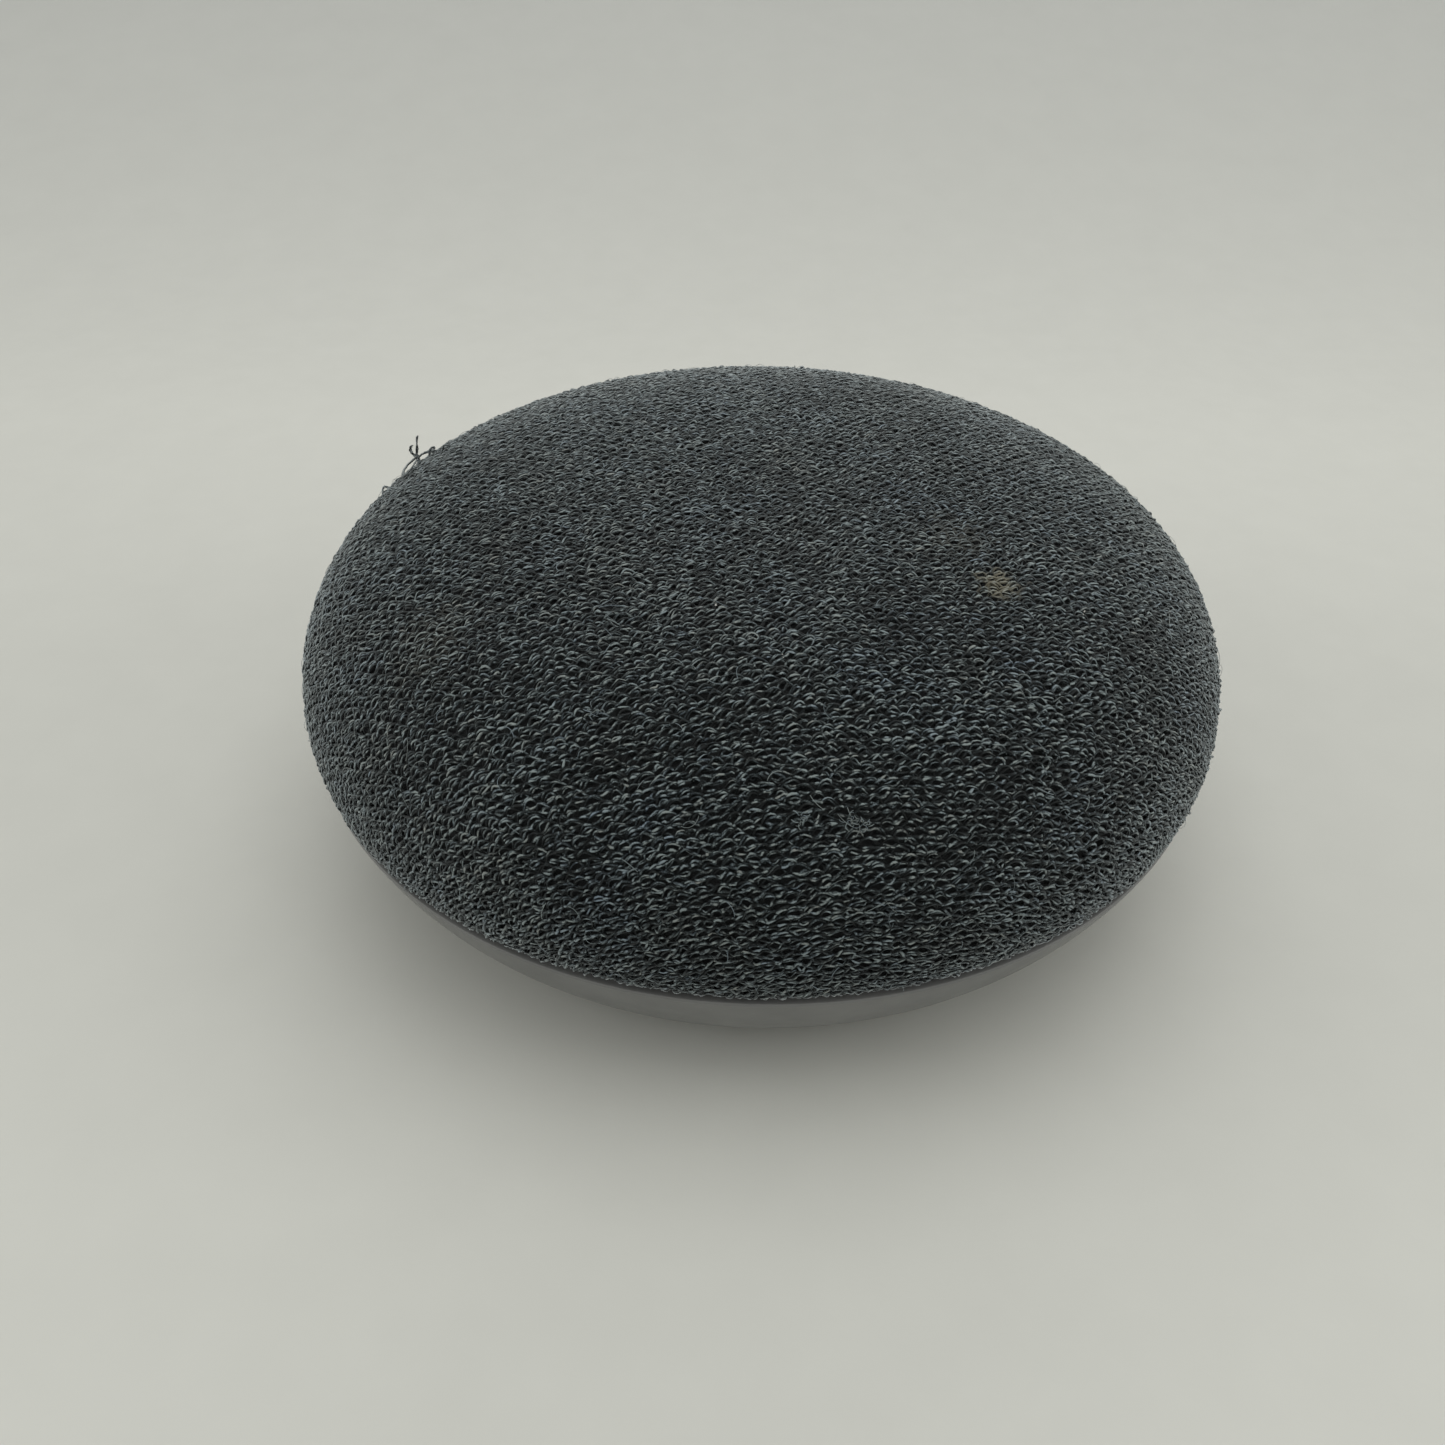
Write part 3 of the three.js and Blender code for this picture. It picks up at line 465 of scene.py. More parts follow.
class Knit:
    """The cloth's yarns: arches over the holes, and floats in front between them, each of two plies.

    Each course is a row of holes. Its arches rise over the holes and drop their feet behind the course
    below. Its floats lie in front halfway between the holes, under the holes of the course above, and
    pass behind the arches.
    """

    over_hole = 0.35 * MM  # how far above the middle of a hole the yarns lie
    foot_drop = 0.68 * MM  # how far the feet of an arch reach down from its top
    roundness = 0.85  # below 1 the top of an arch is pointed, above 1 it is flat
    spread = 0.15 * MM  # how far the legs of an arch lean out
    arch_front, arch_back = 0.08 * MM, -0.28 * MM
    float_front, float_back = 0.15 * MM, -0.31 * MM
    float_dive = 1.5  # how steeply a float comes to the front between the holes
    climb = 0.05 * MM  # how far a float climbs to the right
    apart = 0.088 * MM  # half the distance between two plies
    lag = 0.22  # how far one ply runs ahead of the other, as an angle of the turn between holes

    # How far a yarn strays, each with its spacing in pitches: across its course, in how much more one leg
    # drops than the other, along the course, in depth, and in its thickness and colour.
    finish_strays = {"thick": (0.22, 0.22), "shade": (0.13, 0.21), "tint": (0.50, 0.13)}
    arch_strays = {
        "across": (0.30, 0.10 * MM),
        "tilt": (0.45, 0.09 * MM),
        "along": (0.25, 0.085 * MM),
        "depth": (0.28, 0.08 * MM),
        **finish_strays,
    }
    float_strays = {
        "across": (0.30, 0.095 * MM),
        "tilt": (0.45, 0.12 * MM),
        "along": (0.25, 0.08 * MM),
        "depth": (0.28, 0.08 * MM),
        **finish_strays,
    }
    thinnest, thickest = 0.5, 1.6
    # Painted shade: a yarn's grey is painted darker where it goes behind the others and lighter in front; the
    # cloud is the cloth's own tone.
    shade_behind, shade_in_front, shade_cloud = 0.03, 0.36, 0.03
    arch_fade, float_fade = 1.8, 1.4  # how soon a yarn darkens as it goes behind
    tint_middle, tint_cloud = 0.5, 0.08

    def __init__(self, seed):
        self.rng = np.random.default_rng(seed)
        self.drift = Patches(self.rng, 7 * MM, 0.12 * MM)
        self.lean = Patches(self.rng, 2.0 * MM, 0.12 * MM)
        self.slope = Patches(self.rng, 3 * MM, 0.09 * MM)
        self.cloud = Patches(self.rng, 9 * MM, 1.0)
        self.hue = Patches(self.rng, 5 * MM, 1.0)

    def course(self, row, steps, lead, strays):
        """Places along a course, the turn between its holes, and a function that draws the strays there.

        The turn is nought at a hole, apart from the lead of a ply.
        """
        half = math.sqrt(max(CLOTH.reach**2 - (row * COURSE) ** 2, HOLE_PITCH**2))
        along = np.linspace(-half, half, int(2 * half / HOLE_PITCH * steps))
        angle = 2 * math.pi * along / HOLE_PITCH + math.pi * (row % 2) + lead

        def stray(kind):
            spacing, amount = strays[kind]
            return wander(self.rng, along, spacing * HOLE_PITCH, amount)

        return along, angle, stray

    def yarn(self, row, along, sway, across, height, radius, front, stray):
        """Flat places, heights, radius, shade and tint of a yarn, with painted shade: lighter where it lies
        in front.

        It drifts slowly with the cloth, and is turned to the cloth's own direction.
        """
        middle = row * COURSE
        x = along + sway
        y = across + middle + self.drift.at(x, middle)
        x = x + self.lean.at(x, middle)
        cos, sin = math.cos(KNIT_TURN), math.sin(KNIT_TURN)
        thick = np.clip(1 + stray("thick"), self.thinnest, self.thickest)
        # Painted shade from how far in front the yarn lies, with the yarn's own random grey and cloud.
        shade = self.shade_behind + self.shade_in_front * front + stray("shade")
        shade = shade + self.shade_cloud * self.cloud.at(along, middle)
        tint = self.tint_middle + self.tint_cloud * self.hue.at(along, middle) + stray("tint")
        return cos * x - sin * y, sin * x + cos * y, height, radius * thick, shade, tint

    def arches(self, row, ply):
        along, angle, stray = self.course(row, ARCH_STEPS, ply * self.lag, self.arch_strays)
        front = 0.5 + 0.5 * np.cos(angle)
        across = self.over_hole - self.foot_drop * (1 - front**self.roundness) + ply * self.apart
        across = across + stray("across") + stray("tilt") * np.sin(angle)
        sway = self.spread * np.sin(angle) + stray("along")
        height = self.arch_back + (self.arch_front - self.arch_back) * front + stray("depth")
        return self.yarn(row, along, sway, across, height, ARCH_RADIUS, front**self.arch_fade, stray)

    def floats(self, row, ply):
        along, angle, stray = self.course(row, FLOAT_STEPS, -ply * self.lag, self.float_strays)
        climb = self.climb + self.slope.at(along, row * COURSE) + stray("tilt")
        across = self.over_hole - climb * np.sin(angle) + ply * self.apart + stray("across")
        front = np.clip(0.5 - 0.5 * self.float_dive * np.cos(angle), 0, 1)
        height = self.float_back + (self.float_front - self.float_back) * front + stray("depth")
        sway = stray("along")
        return self.yarn(row, along, sway, across, height, FLOAT_RADIUS, front**self.float_fade, stray)


def tube(points, normals, radius, sides, flatten=0.82):
    """Rings of a yarn along its centre points, a little wider than they are deep."""
    along = np.gradient(points, axis=0)
    along /= np.linalg.norm(along, axis=1, keepdims=True)
    across = np.cross(along, normals)
    across /= np.linalg.norm(across, axis=1, keepdims=True)
    up = np.cross(across, along)
    angle = 2 * math.pi * np.arange(sides) / sides
    wide = np.cos(angle)[None, :, None] * across[:, None, :] / flatten
    deep = np.sin(angle)[None, :, None] * up[:, None, :] * flatten
    return points[:, None, :] + radius[:, None, None] * (wide + deep)


def tube_faces(rings, sides, first):
    """Quads between neighbouring rings, numbered from a first vertex."""
    ring, side = np.meshgrid(np.arange(rings - 1), np.arange(sides), indexing="ij")
    beside = (side + 1) % sides
    near, far = ring * sides, (ring + 1) * sides
    corners = np.stack([near + side, near + beside, far + beside, far + side], -1)
    return first + corners.reshape(-1, 4), ring.ravel(), side.ravel()


def set_all(target, field, values, kind=np.float32):
    target.foreach_set(field, values.astype(kind).ravel())


class YarnMesh:
    """Collects tubes into one mesh, with a strip of texture space for each.

    Each point keeps a shade and a tint, and the cloth's outward direction under the name skin. The shade is
    painted lighter along the outer side of a tube and darker along its inner side: painted highlight and
    shade.
    """

    # Painted highlight and shade: the outer side of each tube is painted lighter, the inner side darker.
    painted_highlight_and_shade = 0.75  # how much lighter the outer side is than the flanks, as a share

    def __init__(self, sides):
        self.sides = sides
        self.points, self.faces, self.uv, self.caps = [], [], [], []
        self.shade, self.tint, self.skin = [], [], []
        self.count = 0

    def add(self, points, normals, radius, shade, tint, strip):
        rings = tube(points, normals, radius, self.sides)
        faces, ring, side = tube_faces(len(rings), self.sides, self.count)
        self.points.append(rings.reshape(-1, 3))
        self.faces.append(faces)
        self.uv.append(strip(ring, side, len(rings), self.sides))
        # Painted highlight along the outer side of the tube, painted shade along its inner side.
        outer = np.sin(2 * math.pi * np.arange(self.sides) / self.sides)
        self.shade.append((shade[:, None] * (1 + self.painted_highlight_and_shade * outer)).ravel())
        self.tint.append(np.repeat(tint, self.sides))
        self.skin.append(np.repeat(normals, self.sides, axis=0))
        last = self.count + (len(rings) - 1) * self.sides
        self.caps.append([self.count + k for k in reversed(range(self.sides))])
        self.caps.append([last + k for k in range(self.sides)])
        self.count += len(rings) * self.sides

    def build(self, name, material):
        points, quads, caps = np.concatenate(self.points), np.concatenate(self.faces), np.array(self.caps)
        mesh = bpy.data.meshes.new(name)
        mesh.vertices.add(len(points))
        set_all(mesh.vertices, "co", points)
        mesh.loops.add(quads.size + caps.size)
        set_all(mesh.loops, "vertex_index", np.concatenate([quads.ravel(), caps.ravel()]), np.int32)
        mesh.polygons.add(len(quads) + len(caps))
        starts = [np.arange(len(quads)) * 4, quads.size + np.arange(len(caps)) * self.sides]
        set_all(mesh.polygons, "loop_start", np.concatenate(starts), np.int32)
        mesh.update(calc_edges=True)
        set_all(mesh.uv_layers.new(name="OFBake").data, "uv", self.texture_places(quads.size, caps.size))
        for label, values in (("shade", self.shade), ("tint", self.tint)):
            set_all(mesh.attributes.new(label, "FLOAT", "POINT").data, "value", np.concatenate(values))
        skin = mesh.attributes.new("skin", "FLOAT_VECTOR", "POINT")
        set_all(skin.data, "vector", np.concatenate(self.skin))
        mesh.validate()
        mesh.polygons.foreach_set("use_smooth", [True] * len(mesh.polygons))
        return link(name, mesh, material)

    def texture_places(self, quad_corners, cap_corners):
        """Texture places of all corners. A cap takes the one at its end of the tube."""
        sides = self.sides
        uv = np.zeros((quad_corners + cap_corners, 2))
        uv[:quad_corners] = np.concatenate(self.uv).reshape(-1, 2)
        of_quad = uv[:quad_corners].reshape(-1, 4, 2)
        ends = np.cumsum([0] + [len(faces) for faces in self.faces])
        for index, (low, high) in enumerate(zip(ends[:-1], ends[1:])):
            at = quad_corners + 2 * index * sides
            uv[at : at + sides] = of_quad[low, 0]
            uv[at + sides : at + 2 * sides] = of_quad[high - 1, 2]
        return uv


def half_strips(index, count, margin=0.12, inset=0.005):
    """Texture space of a yarn: its left half in one strip and its right half in the next."""

    def strip(ring, side, rings, sides):
        half = (rings - 1) / 2
        right = ring >= half
        row = 2 * index + right
        low = (row + margin) / (2 * count)
        tall = (1 - 2 * margin) / (2 * count)
        start = ring - right * half
        u = [inset + (1 - 2 * inset) * (start + step) / (half + 1) for step in (0, 0, 1, 1)]
        v = [low + tall * (side + step) / sides for step in (0, 1, 1, 0)]
        return np.stack([np.stack(u, -1), np.stack(v, -1)], -1)

    return strip


def yarns_of(knit, rows):
    """Every ply of the arches and the floats of some courses."""
    return [course(row, ply) for row in rows for course in (knit.arches, knit.floats) for ply in (-1, 1)]


def knit_bands(material):
    """The whole cloth, in pieces of a few courses each."""
    knit = Knit(seed=7)
    last_row = int((CLOTH.reach - 0.2 * MM) / COURSE)
    rows = list(range(-last_row, last_row + 1))
    bands = []
    for start in range(0, len(rows), BAND_COURSES):
        mesh = YarnMesh(YARN_SIDES)
        yarns = yarns_of(knit, rows[start : start + BAND_COURSES])
        for index, (x, y, height, radius, shade, tint) in enumerate(yarns):
            points, normals = CLOTH.place(x, y, height)
            mesh.add(points, normals, radius, shade, tint, half_strips(index, len(yarns)))
        bands.append(mesh.build(f"knit_band_{len(bands) + 1}", material))
    return bands


def fuzzy_normal(material, share):
    """The yarn's own normal, turned part of the way to the cloth's, as its fuzz blurs its roundness."""
    skin = attribute(material, "skin").outputs["Vector"]
    own = add_node(material, "ShaderNodeNewGeometry").outputs["Normal"]
    skin, own = (
        vector_maths(material, "SCALE", {0: vector, "Scale": part})
        for vector, part in ((skin, share), (own, 1 - share))
    )
    total = vector_maths(material, "ADD", {0: skin, 1: own})
    return vector_maths(material, "NORMALIZE", {0: total})


STAINS = [  # flat place on the cloth, radius, strength
    ((21.9 * MM, -18.4 * MM), 2.4 * MM, 0.50),
    ((18.4 * MM, -11.3 * MM), 4.2 * MM, 0.08),
    ((-30.3 * MM, -25.5 * MM), 5.0 * MM, 0.06),
]


def stained(material, colour):
    """Dried tan marks that break up at their edges."""
    where = object_space(material)
    for (x, y), radius, strength in STAINS:
        points, _ = CLOTH.place(np.array([x]), np.array([y]), 0.0)
        ends = {0: where, 1: tuple(points[0])}
        away = add_node(material, "ShaderNodeVectorMath", ends, operation="DISTANCE").outputs["Value"]
        ragged = spread(material, noise(material, 1.6 * MM, 4), 0.55, 1.5)
        reach = maths(material, "MULTIPLY", away, ragged)
        share = spread(material, reach, strength, 0.0, radius * 0.35, radius)
        colour = mixed(material, share, colour, (0.26, 0.23, 0.15))
    return colour


def knit_material():
    """Melange yarn: each stretch has its own grey, with cool and brown fibres, and a soft sheen."""
    sheen = {"Sheen_Weight": 0.8, "Sheen_Roughness": 0.45, "Sheen_Tint": (0.92, 0.99, 1.0, 1)}
    material = new_material("knit", (0.1, 0.1, 0.1), 0.92, Specular_IOR_Level=0.25, **sheen)
    # The shade attribute holds the yarn's own grey with painted shade where it lies behind and a painted
    # highlight along each tube's outer side.
    shade, tint = (attribute(material, name).outputs["Fac"] for name in ("shade", "tint"))
    fibres = noise(material, 0.15 * MM, 4, distortion=0.6)
    level = maths(material, "ADD", shade, spread(material, fibres, -0.20, 0.20))
    greys = [
        (0.08, (0.003, 0.004, 0.0045)),
        (0.36, (0.013, 0.017, 0.019)),
        (0.60, (0.066, 0.080, 0.087)),
        (0.95, (0.240, 0.272, 0.282)),
    ]
    hues = [
        (0.15, (1.08, 1.00, 0.90)),
        (0.45, (0.98, 1.02, 0.98)),
        (0.62, (0.95, 1.01, 1.03)),
        (0.88, (0.88, 0.98, 1.12)),
    ]
    yarn = mixed(material, 1.0, ramp(material, level, greys), ramp(material, tint, hues), "MULTIPLY")
    plug(material, "Base Color", stained(material, yarn))
    hairs = noise(material, 0.09 * MM, 3, distortion=1.0)
    roughen(material, hairs, 0.03 * MM, 0.8, fuzzy_normal(material, 0.72))
    return material


# ---------- backing, fibres and the frayed tuft


def backing_sheet():
    """The dark inner face of the cloth, which closes the holes between the loops."""
    material = new_material("knit_backing", (0.012, 0.013, 0.014), 0.95)
    threads = noise(material, 0.5 * MM, 3)
    dark, light = (0.006, 0.007, 0.008), (0.022, 0.024, 0.025)
    plug(material, "Base Color", two_tone(material, threads, dark, light))
    roughen(material, threads, 0.08 * MM)
    outer = evenly(cloth_line(BACKING_DEPTH, 120), 1.0 * MM)
    inner = outer - BACKING_THICK * outward(outer)
    inner[0] = (0, outer[0, 1] - BACKING_THICK)
    outer[0, 0] = 0
    return turned("fabric_backing", [*outer, *inner[::-1]], material, 128)


LINT_TANGLES = [(4.0, -45.4), (8.0, -45.3), (9.2, -45.4), (-14.0, -36.0)]  # flat places, in millimetres
LINT_CRUMBS = [(-3.6, -24.3), (1.9, -30.6), (30.0, -20.0)]
HAIR_RINGS = 7


def hair(rng, x, y, length, curl):
    """Points and normals of one hair that curls over the cloth from a flat place."""
    steps = np.linspace(0, 1, HAIR_RINGS)
    heading = rng.uniform(0, 2 * math.pi) + rng.uniform(-curl, curl) * steps
    x = x + np.cumsum(np.cos(heading)) * length / HAIR_RINGS
    y = y + np.cumsum(np.sin(heading)) * length / HAIR_RINGS
    height = 0.26 * MM + rng.uniform(0.05, 0.3) * MM * np.sin(math.pi * steps)
    return CLOTH.place(x, y, height)


def loose_fibres(material, count=420, in_tangle=12):
    """Fine hairs that stand out of the yarn here and there, and small tangles of pale lint."""
    rng = np.random.default_rng(23)
    hairs = YarnMesh(3)
    total = count + in_tangle * len(LINT_TANGLES)
    for index in range(total):
        if index < count:
            distance = CLOTH.reach * 0.97 * math.sqrt(rng.uniform(0.02, 1))
            azimuth = rng.uniform(0, 2 * math.pi)
            x, y = distance * math.cos(azimuth), distance * math.sin(azimuth)
            line = hair(rng, x, y, rng.uniform(0.9, 2.6) * MM, 2.2)
            level = rng.uniform(0.45, 0.95)
        else:
            tangle = LINT_TANGLES[(index - count) // in_tangle]
            x, y = np.array(tangle) * MM + rng.normal(0, 0.2 * MM, 2)
            line = hair(rng, x, y, rng.uniform(0.4, 0.9) * MM, 4.0)
            level = rng.uniform(0.95, 1.3)
        thin = rng.uniform(0.018, 0.034) * MM
        hue = rng.uniform(0.3, 0.8)
        along = [np.full(HAIR_RINGS, value) for value in (thin, level, hue)]
        hairs.add(*line, *along, half_strips(index, total))
    return hairs.build("loose_fibres", material)


TUFT_PLACE = (-39.2 * MM, 13.8 * MM)  # flat place on the cloth, at the far left of the rim
TUFT_STRANDS = [  # (x, y, height over the cloth) in millimetres, from that place
    [(-0.6, -0.4, 0.1), (-0.6, 0.0, 0.9), (-0.2, 0.0, 1.4), (0.25, 0.0, 2.1), (0.75, 0.0, 2.8)],
    [(-0.5, 0.0, 0.8), (-0.8, 0.0, 1.4), (-0.75, 0.0, 1.9), (-0.5, 0.0, 2.2), (-0.3, 0.0, 2.1)],
    [(-0.8, -0.1, 0.6), (0.0, 0.0, 0.85), (0.7, 0.0, 0.75), (1.3, 0.0, 0.7), (1.8, -0.1, 0.3)],
    [(0.9, -0.2, 0.4), (1.2, 0.1, 0.9), (1.6, 0.2, 0.8), (1.4, -0.2, 0.5), (1.1, 0.0, 0.7)],
    [(-0.5, 0.1, 0.9), (-1.5, -1.5, 0.8), (-1.3, -4.0, 0.7), (-0.8, -5.6, 0.5), (-0.3, -3.8, 0.6),
     (-0.4, -1.2, 0.7)],
    [(-6.5, -0.9, 0.1), (-6.2, -0.5, 0.6), (-5.8, -0.3, 0.7), (-5.5, -0.4, 0.2)],
    [(2.4, 0.0, 0.1), (2.7, 0.1, 0.5), (3.1, 0.0, 0.5), (3.4, -0.1, 0.1)],
]
TUFT_RINGS = 22
TUFT_TWIST = 7  # radians that the plies of a strand turn round each other
TUFT_RADIUS = 0.14 * MM
TUFT_APART = 0.09  # half the distance between a strand's plies, in millimetres


def through(points, count):
    """A smooth line through listed points (a Catmull-Rom spline)."""
    points = np.array(points, float)
    ends = np.concatenate([2 * points[:1] - points[1:2], points, 2 * points[-1:] - points[-2:-1]])
    made = []
    for t in np.linspace(0, len(points) - 1, count):
        i = min(int(t), len(points) - 2)
        s = t - i
        a, b, c, d = ends[i : i + 4]
        rise, bend, turn_back = c - a, 2 * a - 5 * b + 4 * c - d, 3 * b - a - 3 * c + d
        made.append(0.5 * (2 * b + rise * s + bend * s**2 + turn_back * s**3))
    return np.array(made)


def frayed_tuft(material):
    """Broken yarns that stick out of the rim, each of two twisted plies."""
    rng = np.random.default_rng(5)
    tuft = YarnMesh(5)
    plies = [(strand, ply) for strand in TUFT_STRANDS for ply in (0, math.pi)]
    for index, (strand, ply) in enumerate(plies):
        line = through(strand, TUFT_RINGS) + rng.normal(0, 0.02, (TUFT_RINGS, 3))
        twist = ply + np.linspace(0, TUFT_TWIST, TUFT_RINGS)
        line = line + TUFT_APART * np.stack([np.cos(twist), np.sin(twist), 0.4 * np.cos(twist)], 1)
        x, y, height = line.T * MM
        points, normals = CLOTH.place(TUFT_PLACE[0] + x, TUFT_PLACE[1] + y, height)
        thick = TUFT_RADIUS * np.linspace(1.0, 0.6, TUFT_RINGS) * rng.uniform(0.85, 1.15)
        level = np.full(TUFT_RINGS, rng.uniform(0.2, 0.55))
        hue = np.full(TUFT_RINGS, rng.uniform(0.4, 0.7))
        tuft.add(points, normals, thick, level, hue, half_strips(index, len(plies)))
    return tuft.build("frayed_tuft", material)


def lint_specks():
    """Crumbs of pale lint caught between the loops."""
    material = moulded("lint", (0.55, 0.55, 0.52), 0.9, grain=0.05 * MM, depth=0.02 * MM)
    rng = np.random.default_rng(41)
    bm = bmesh.new()
    for x, y in LINT_CRUMBS:
        for _ in range(2):
            at = np.array([x, y]) * MM + rng.normal(0, 0.22 * MM, 2)
            points, _ = CLOTH.place(at[:1], at[1:], rng.uniform(0.1, 0.26) * MM)
            squash = Matrix.Diagonal((*(rng.uniform(0.4, 1.0, 3)), 1))
            spot = Matrix.Translation(points[0]) @ Matrix.Rotation(rng.uniform(0, 6), 4, "Z") @ squash
            bmesh.ops.create_icosphere(bm, subdivisions=2, radius=rng.uniform(0.06, 0.11) * MM, matrix=spot)
    for vertex in bm.verts:
        vertex.co += Vector(rng.normal(0, 0.012 * MM, 3))
    return smooth(link_bmesh("lint_specks", bm, material), 60)


def make_cover():
    yarn = knit_material()
    backing = backing_sheet()
    bands = knit_bands(yarn)
    trims = [loose_fibres(yarn), frayed_tuft(yarn), lint_specks()]
    for piece in [backing, *bands, *trims]:
        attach(piece, "root")
    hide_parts("fabric_cover")


make_cover()

# ---------- base, foot and what is set into them


def middle_of(node):
    low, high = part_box(node)
    return (low + high) / 2


WALL = 2 * MM
LIP = {"outer": 42.2 * MM, "inner": 40.8 * MM, "top": 17.6 * MM, "foot": 14 * MM}
FLOOR_TOP_Z = 3.6 * MM
FOOT_RECESS_Z = 2.0 * MM
FOOT_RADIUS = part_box("foot_pad")[1].x
FOOT_TOP_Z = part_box("foot_pad")[1].z
INLET = {"width": 12 * MM, "height": 6.6 * MM, "back": 39.3 * MM, "wall": 1.2 * MM, "z": 9.5 * MM}
SOCKET_LOW, SOCKET_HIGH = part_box("power_socket")
CASE_SCREWS = [middle_of(f"case_screw_{k}") for k in (1, 2, 3, 4)]
RESET = middle_of("reset_button")
MUTE_AZIMUTH = math.radians(116)
MUTE_Z = 8.2 * MM
MUTE_SLOT = (9.3 * MM, 3.8 * MM)
SCREW_BOSS = ((3.6 * MM, 12.7 * MM), (5 * MM, 6.9 * MM))  # radius and top, of the boss and its collar
SCREW_HOLE = ((1.35 * MM, 20 * MM), (2.5 * MM, 5 * MM))  # radius and top, for the shank and the head
BOARD_POST = (1.8 * MM, 6.6 * MM)
BOARD_POST_PLACES = ((-14 * MM, 29 * MM), (12 * MM, 29 * MM))
RESET_HOLE = 2.1 * MM


def base_profile():
    """The bowl: foot recess, curved outside, rounded rim, locating lip and inside."""
    edge = 0.3 * MM
    outside = BASE_LINE[(BASE_LINE[:, 1] <= BASE_RIM_Z - edge)][::-1]
    inside = BASE_LINE - WALL * outward(BASE_LINE)
    inside = inside[(inside[:, 1] < 12.5 * MM) & (inside[:, 1] > FLOOR_TOP_Z)]
    rim = outside[-1]
    mouth = FOOT_RADIUS + 0.3 * MM
    return [
        (0, FOOT_RECESS_Z),
        (mouth, FOOT_RECESS_Z),
        (mouth, BASE_BOTTOM_Z + edge),
        (mouth + 0.3 * edge, BASE_BOTTOM_Z + 0.3 * edge),
        (mouth + edge, BASE_BOTTOM_Z),
        *evenly(outside, 0.6 * MM),
        (rim[0] - 0.3 * edge, BASE_RIM_Z - 0.3 * edge),
        (rim[0] - edge, BASE_RIM_Z),
        (LIP["outer"], BASE_RIM_Z),
        (LIP["outer"], LIP["top"]),
        (LIP["inner"], LIP["top"]),
        (LIP["inner"], LIP["foot"]),
        *evenly(inside, 0.8 * MM),
        (0, FLOOR_TOP_Z),
    ]


def mute_place(depth):
    """The slide's own frame: X out of the wall, Y along the slot, turned round to its place on the base."""
    row = BASE_LINE[::-1]
    radius = np.interp(MUTE_Z, row[:, 1], row[:, 0])
    above, below = (np.interp(MUTE_Z + step, row[:, 1], row[:, 0]) for step in (MM, -MM))
    lean = math.atan2(above - below, 2 * MM)
    spin = Matrix.Rotation(MUTE_AZIMUTH, 4, "Z")
    on_wall = Matrix.Translation((radius, 0, MUTE_Z)) @ Matrix.Rotation(lean, 4, "Y")
    return spin @ on_wall @ Matrix.Translation((depth, 0, 0))


def inlet_pocket():
    """The block behind the inlet, cut to the shape of the body."""
    wall = INLET["wall"]
    reach = 44 * MM
    size = (INLET["width"] + 2 * wall, 2 * (reach - INLET["back"] + wall), INLET["height"] + 2 * wall)
    pocket = rounded_box("pocket", size, 0.5 * MM, None, place=Matrix.Translation((0, reach, INLET["z"])))
    body = turned("body", [(0, 0), *evenly(inset_line(0.4 * MM), MM)[::-1]], None, 96)
    return combine(pocket, [body], "INTERSECT")


def inlet_cuts():
    """The recess for the plug, and the window in its back for the socket."""
    deep, gap = 20 * MM, 0.3 * MM
    place = Matrix.Translation((0, INLET["back"] + deep / 2, INLET["z"]))
    recess = rounded_box("recess", (INLET["width"], deep, INLET["height"]), 1.1 * MM, None, 5, place)
    window_size = (SOCKET_HIGH.x - SOCKET_LOW.x + 2 * gap, 6 * MM, SOCKET_HIGH.z - SOCKET_LOW.z + 2 * gap)
    window_at = Matrix.Translation((0, INLET["back"], (SOCKET_HIGH.z + SOCKET_LOW.z) / 2))
    return [recess, rounded_box("window", window_size, 0.2 * MM, None, 2, window_at)]


def base_shell(material):
    """The bowl with its bosses and posts, less the inlet, the slide's slot and the holes."""
    shell = turned("base_shell", base_profile(), material)
    pocket = inlet_pocket()
    foot = FLOOR_TOP_Z - MM
    bosses = [post(wide, foot, top, at.x, at.y) for at in CASE_SCREWS for wide, top in SCREW_BOSS]
    wide, top = BOARD_POST
    posts = [post(wide, foot, top, x, y) for x, y in BOARD_POST_PLACES]
    combine(shell, [pocket, *bosses, *posts], "UNION")
    slot = rounded_box("slot", (9 * MM, *MUTE_SLOT), 1.0 * MM, None, 4, mute_place(-1.5 * MM))
    holes = [post(RESET_HOLE, 0, FLOOR_TOP_Z + MM, RESET.x, RESET.y)]
    holes += [post(wide, 0, top, at.x, at.y, 24) for at in CASE_SCREWS for wide, top in SCREW_HOLE]
    combine(shell, [*inlet_cuts(), slot, *holes], "DIFFERENCE")
    return smooth(shell, 30)


def foot_pad(material):
    """A silicone disc with a rounded edge, a shallow groove inside its rim and a hole for the reset pin."""
    edge, groove, depth, half = 0.7 * MM, 28.6 * MM, 0.25 * MM, 0.4 * MM
    angles = np.radians(np.arange(0, 91, 15))
    corner = [(FOOT_RADIUS - edge * (1 - math.sin(a)), edge * (1 - math.cos(a))) for a in angles]
    mouth = half + 0.3 * MM
    groove_line = [(groove - mouth, 0), (groove - half, depth), (groove + half, depth), (groove + mouth, 0)]
    outline = [(0, 0), *groove_line, *corner, (FOOT_RADIUS, FOOT_TOP_Z), (0, FOOT_TOP_Z)]
    pad = turned("foot", outline, material)
    combine(pad, [post(2.3 * MM, -MM, 3 * MM, RESET.x, RESET.y)], "DIFFERENCE")
    return smooth(pad, 30)


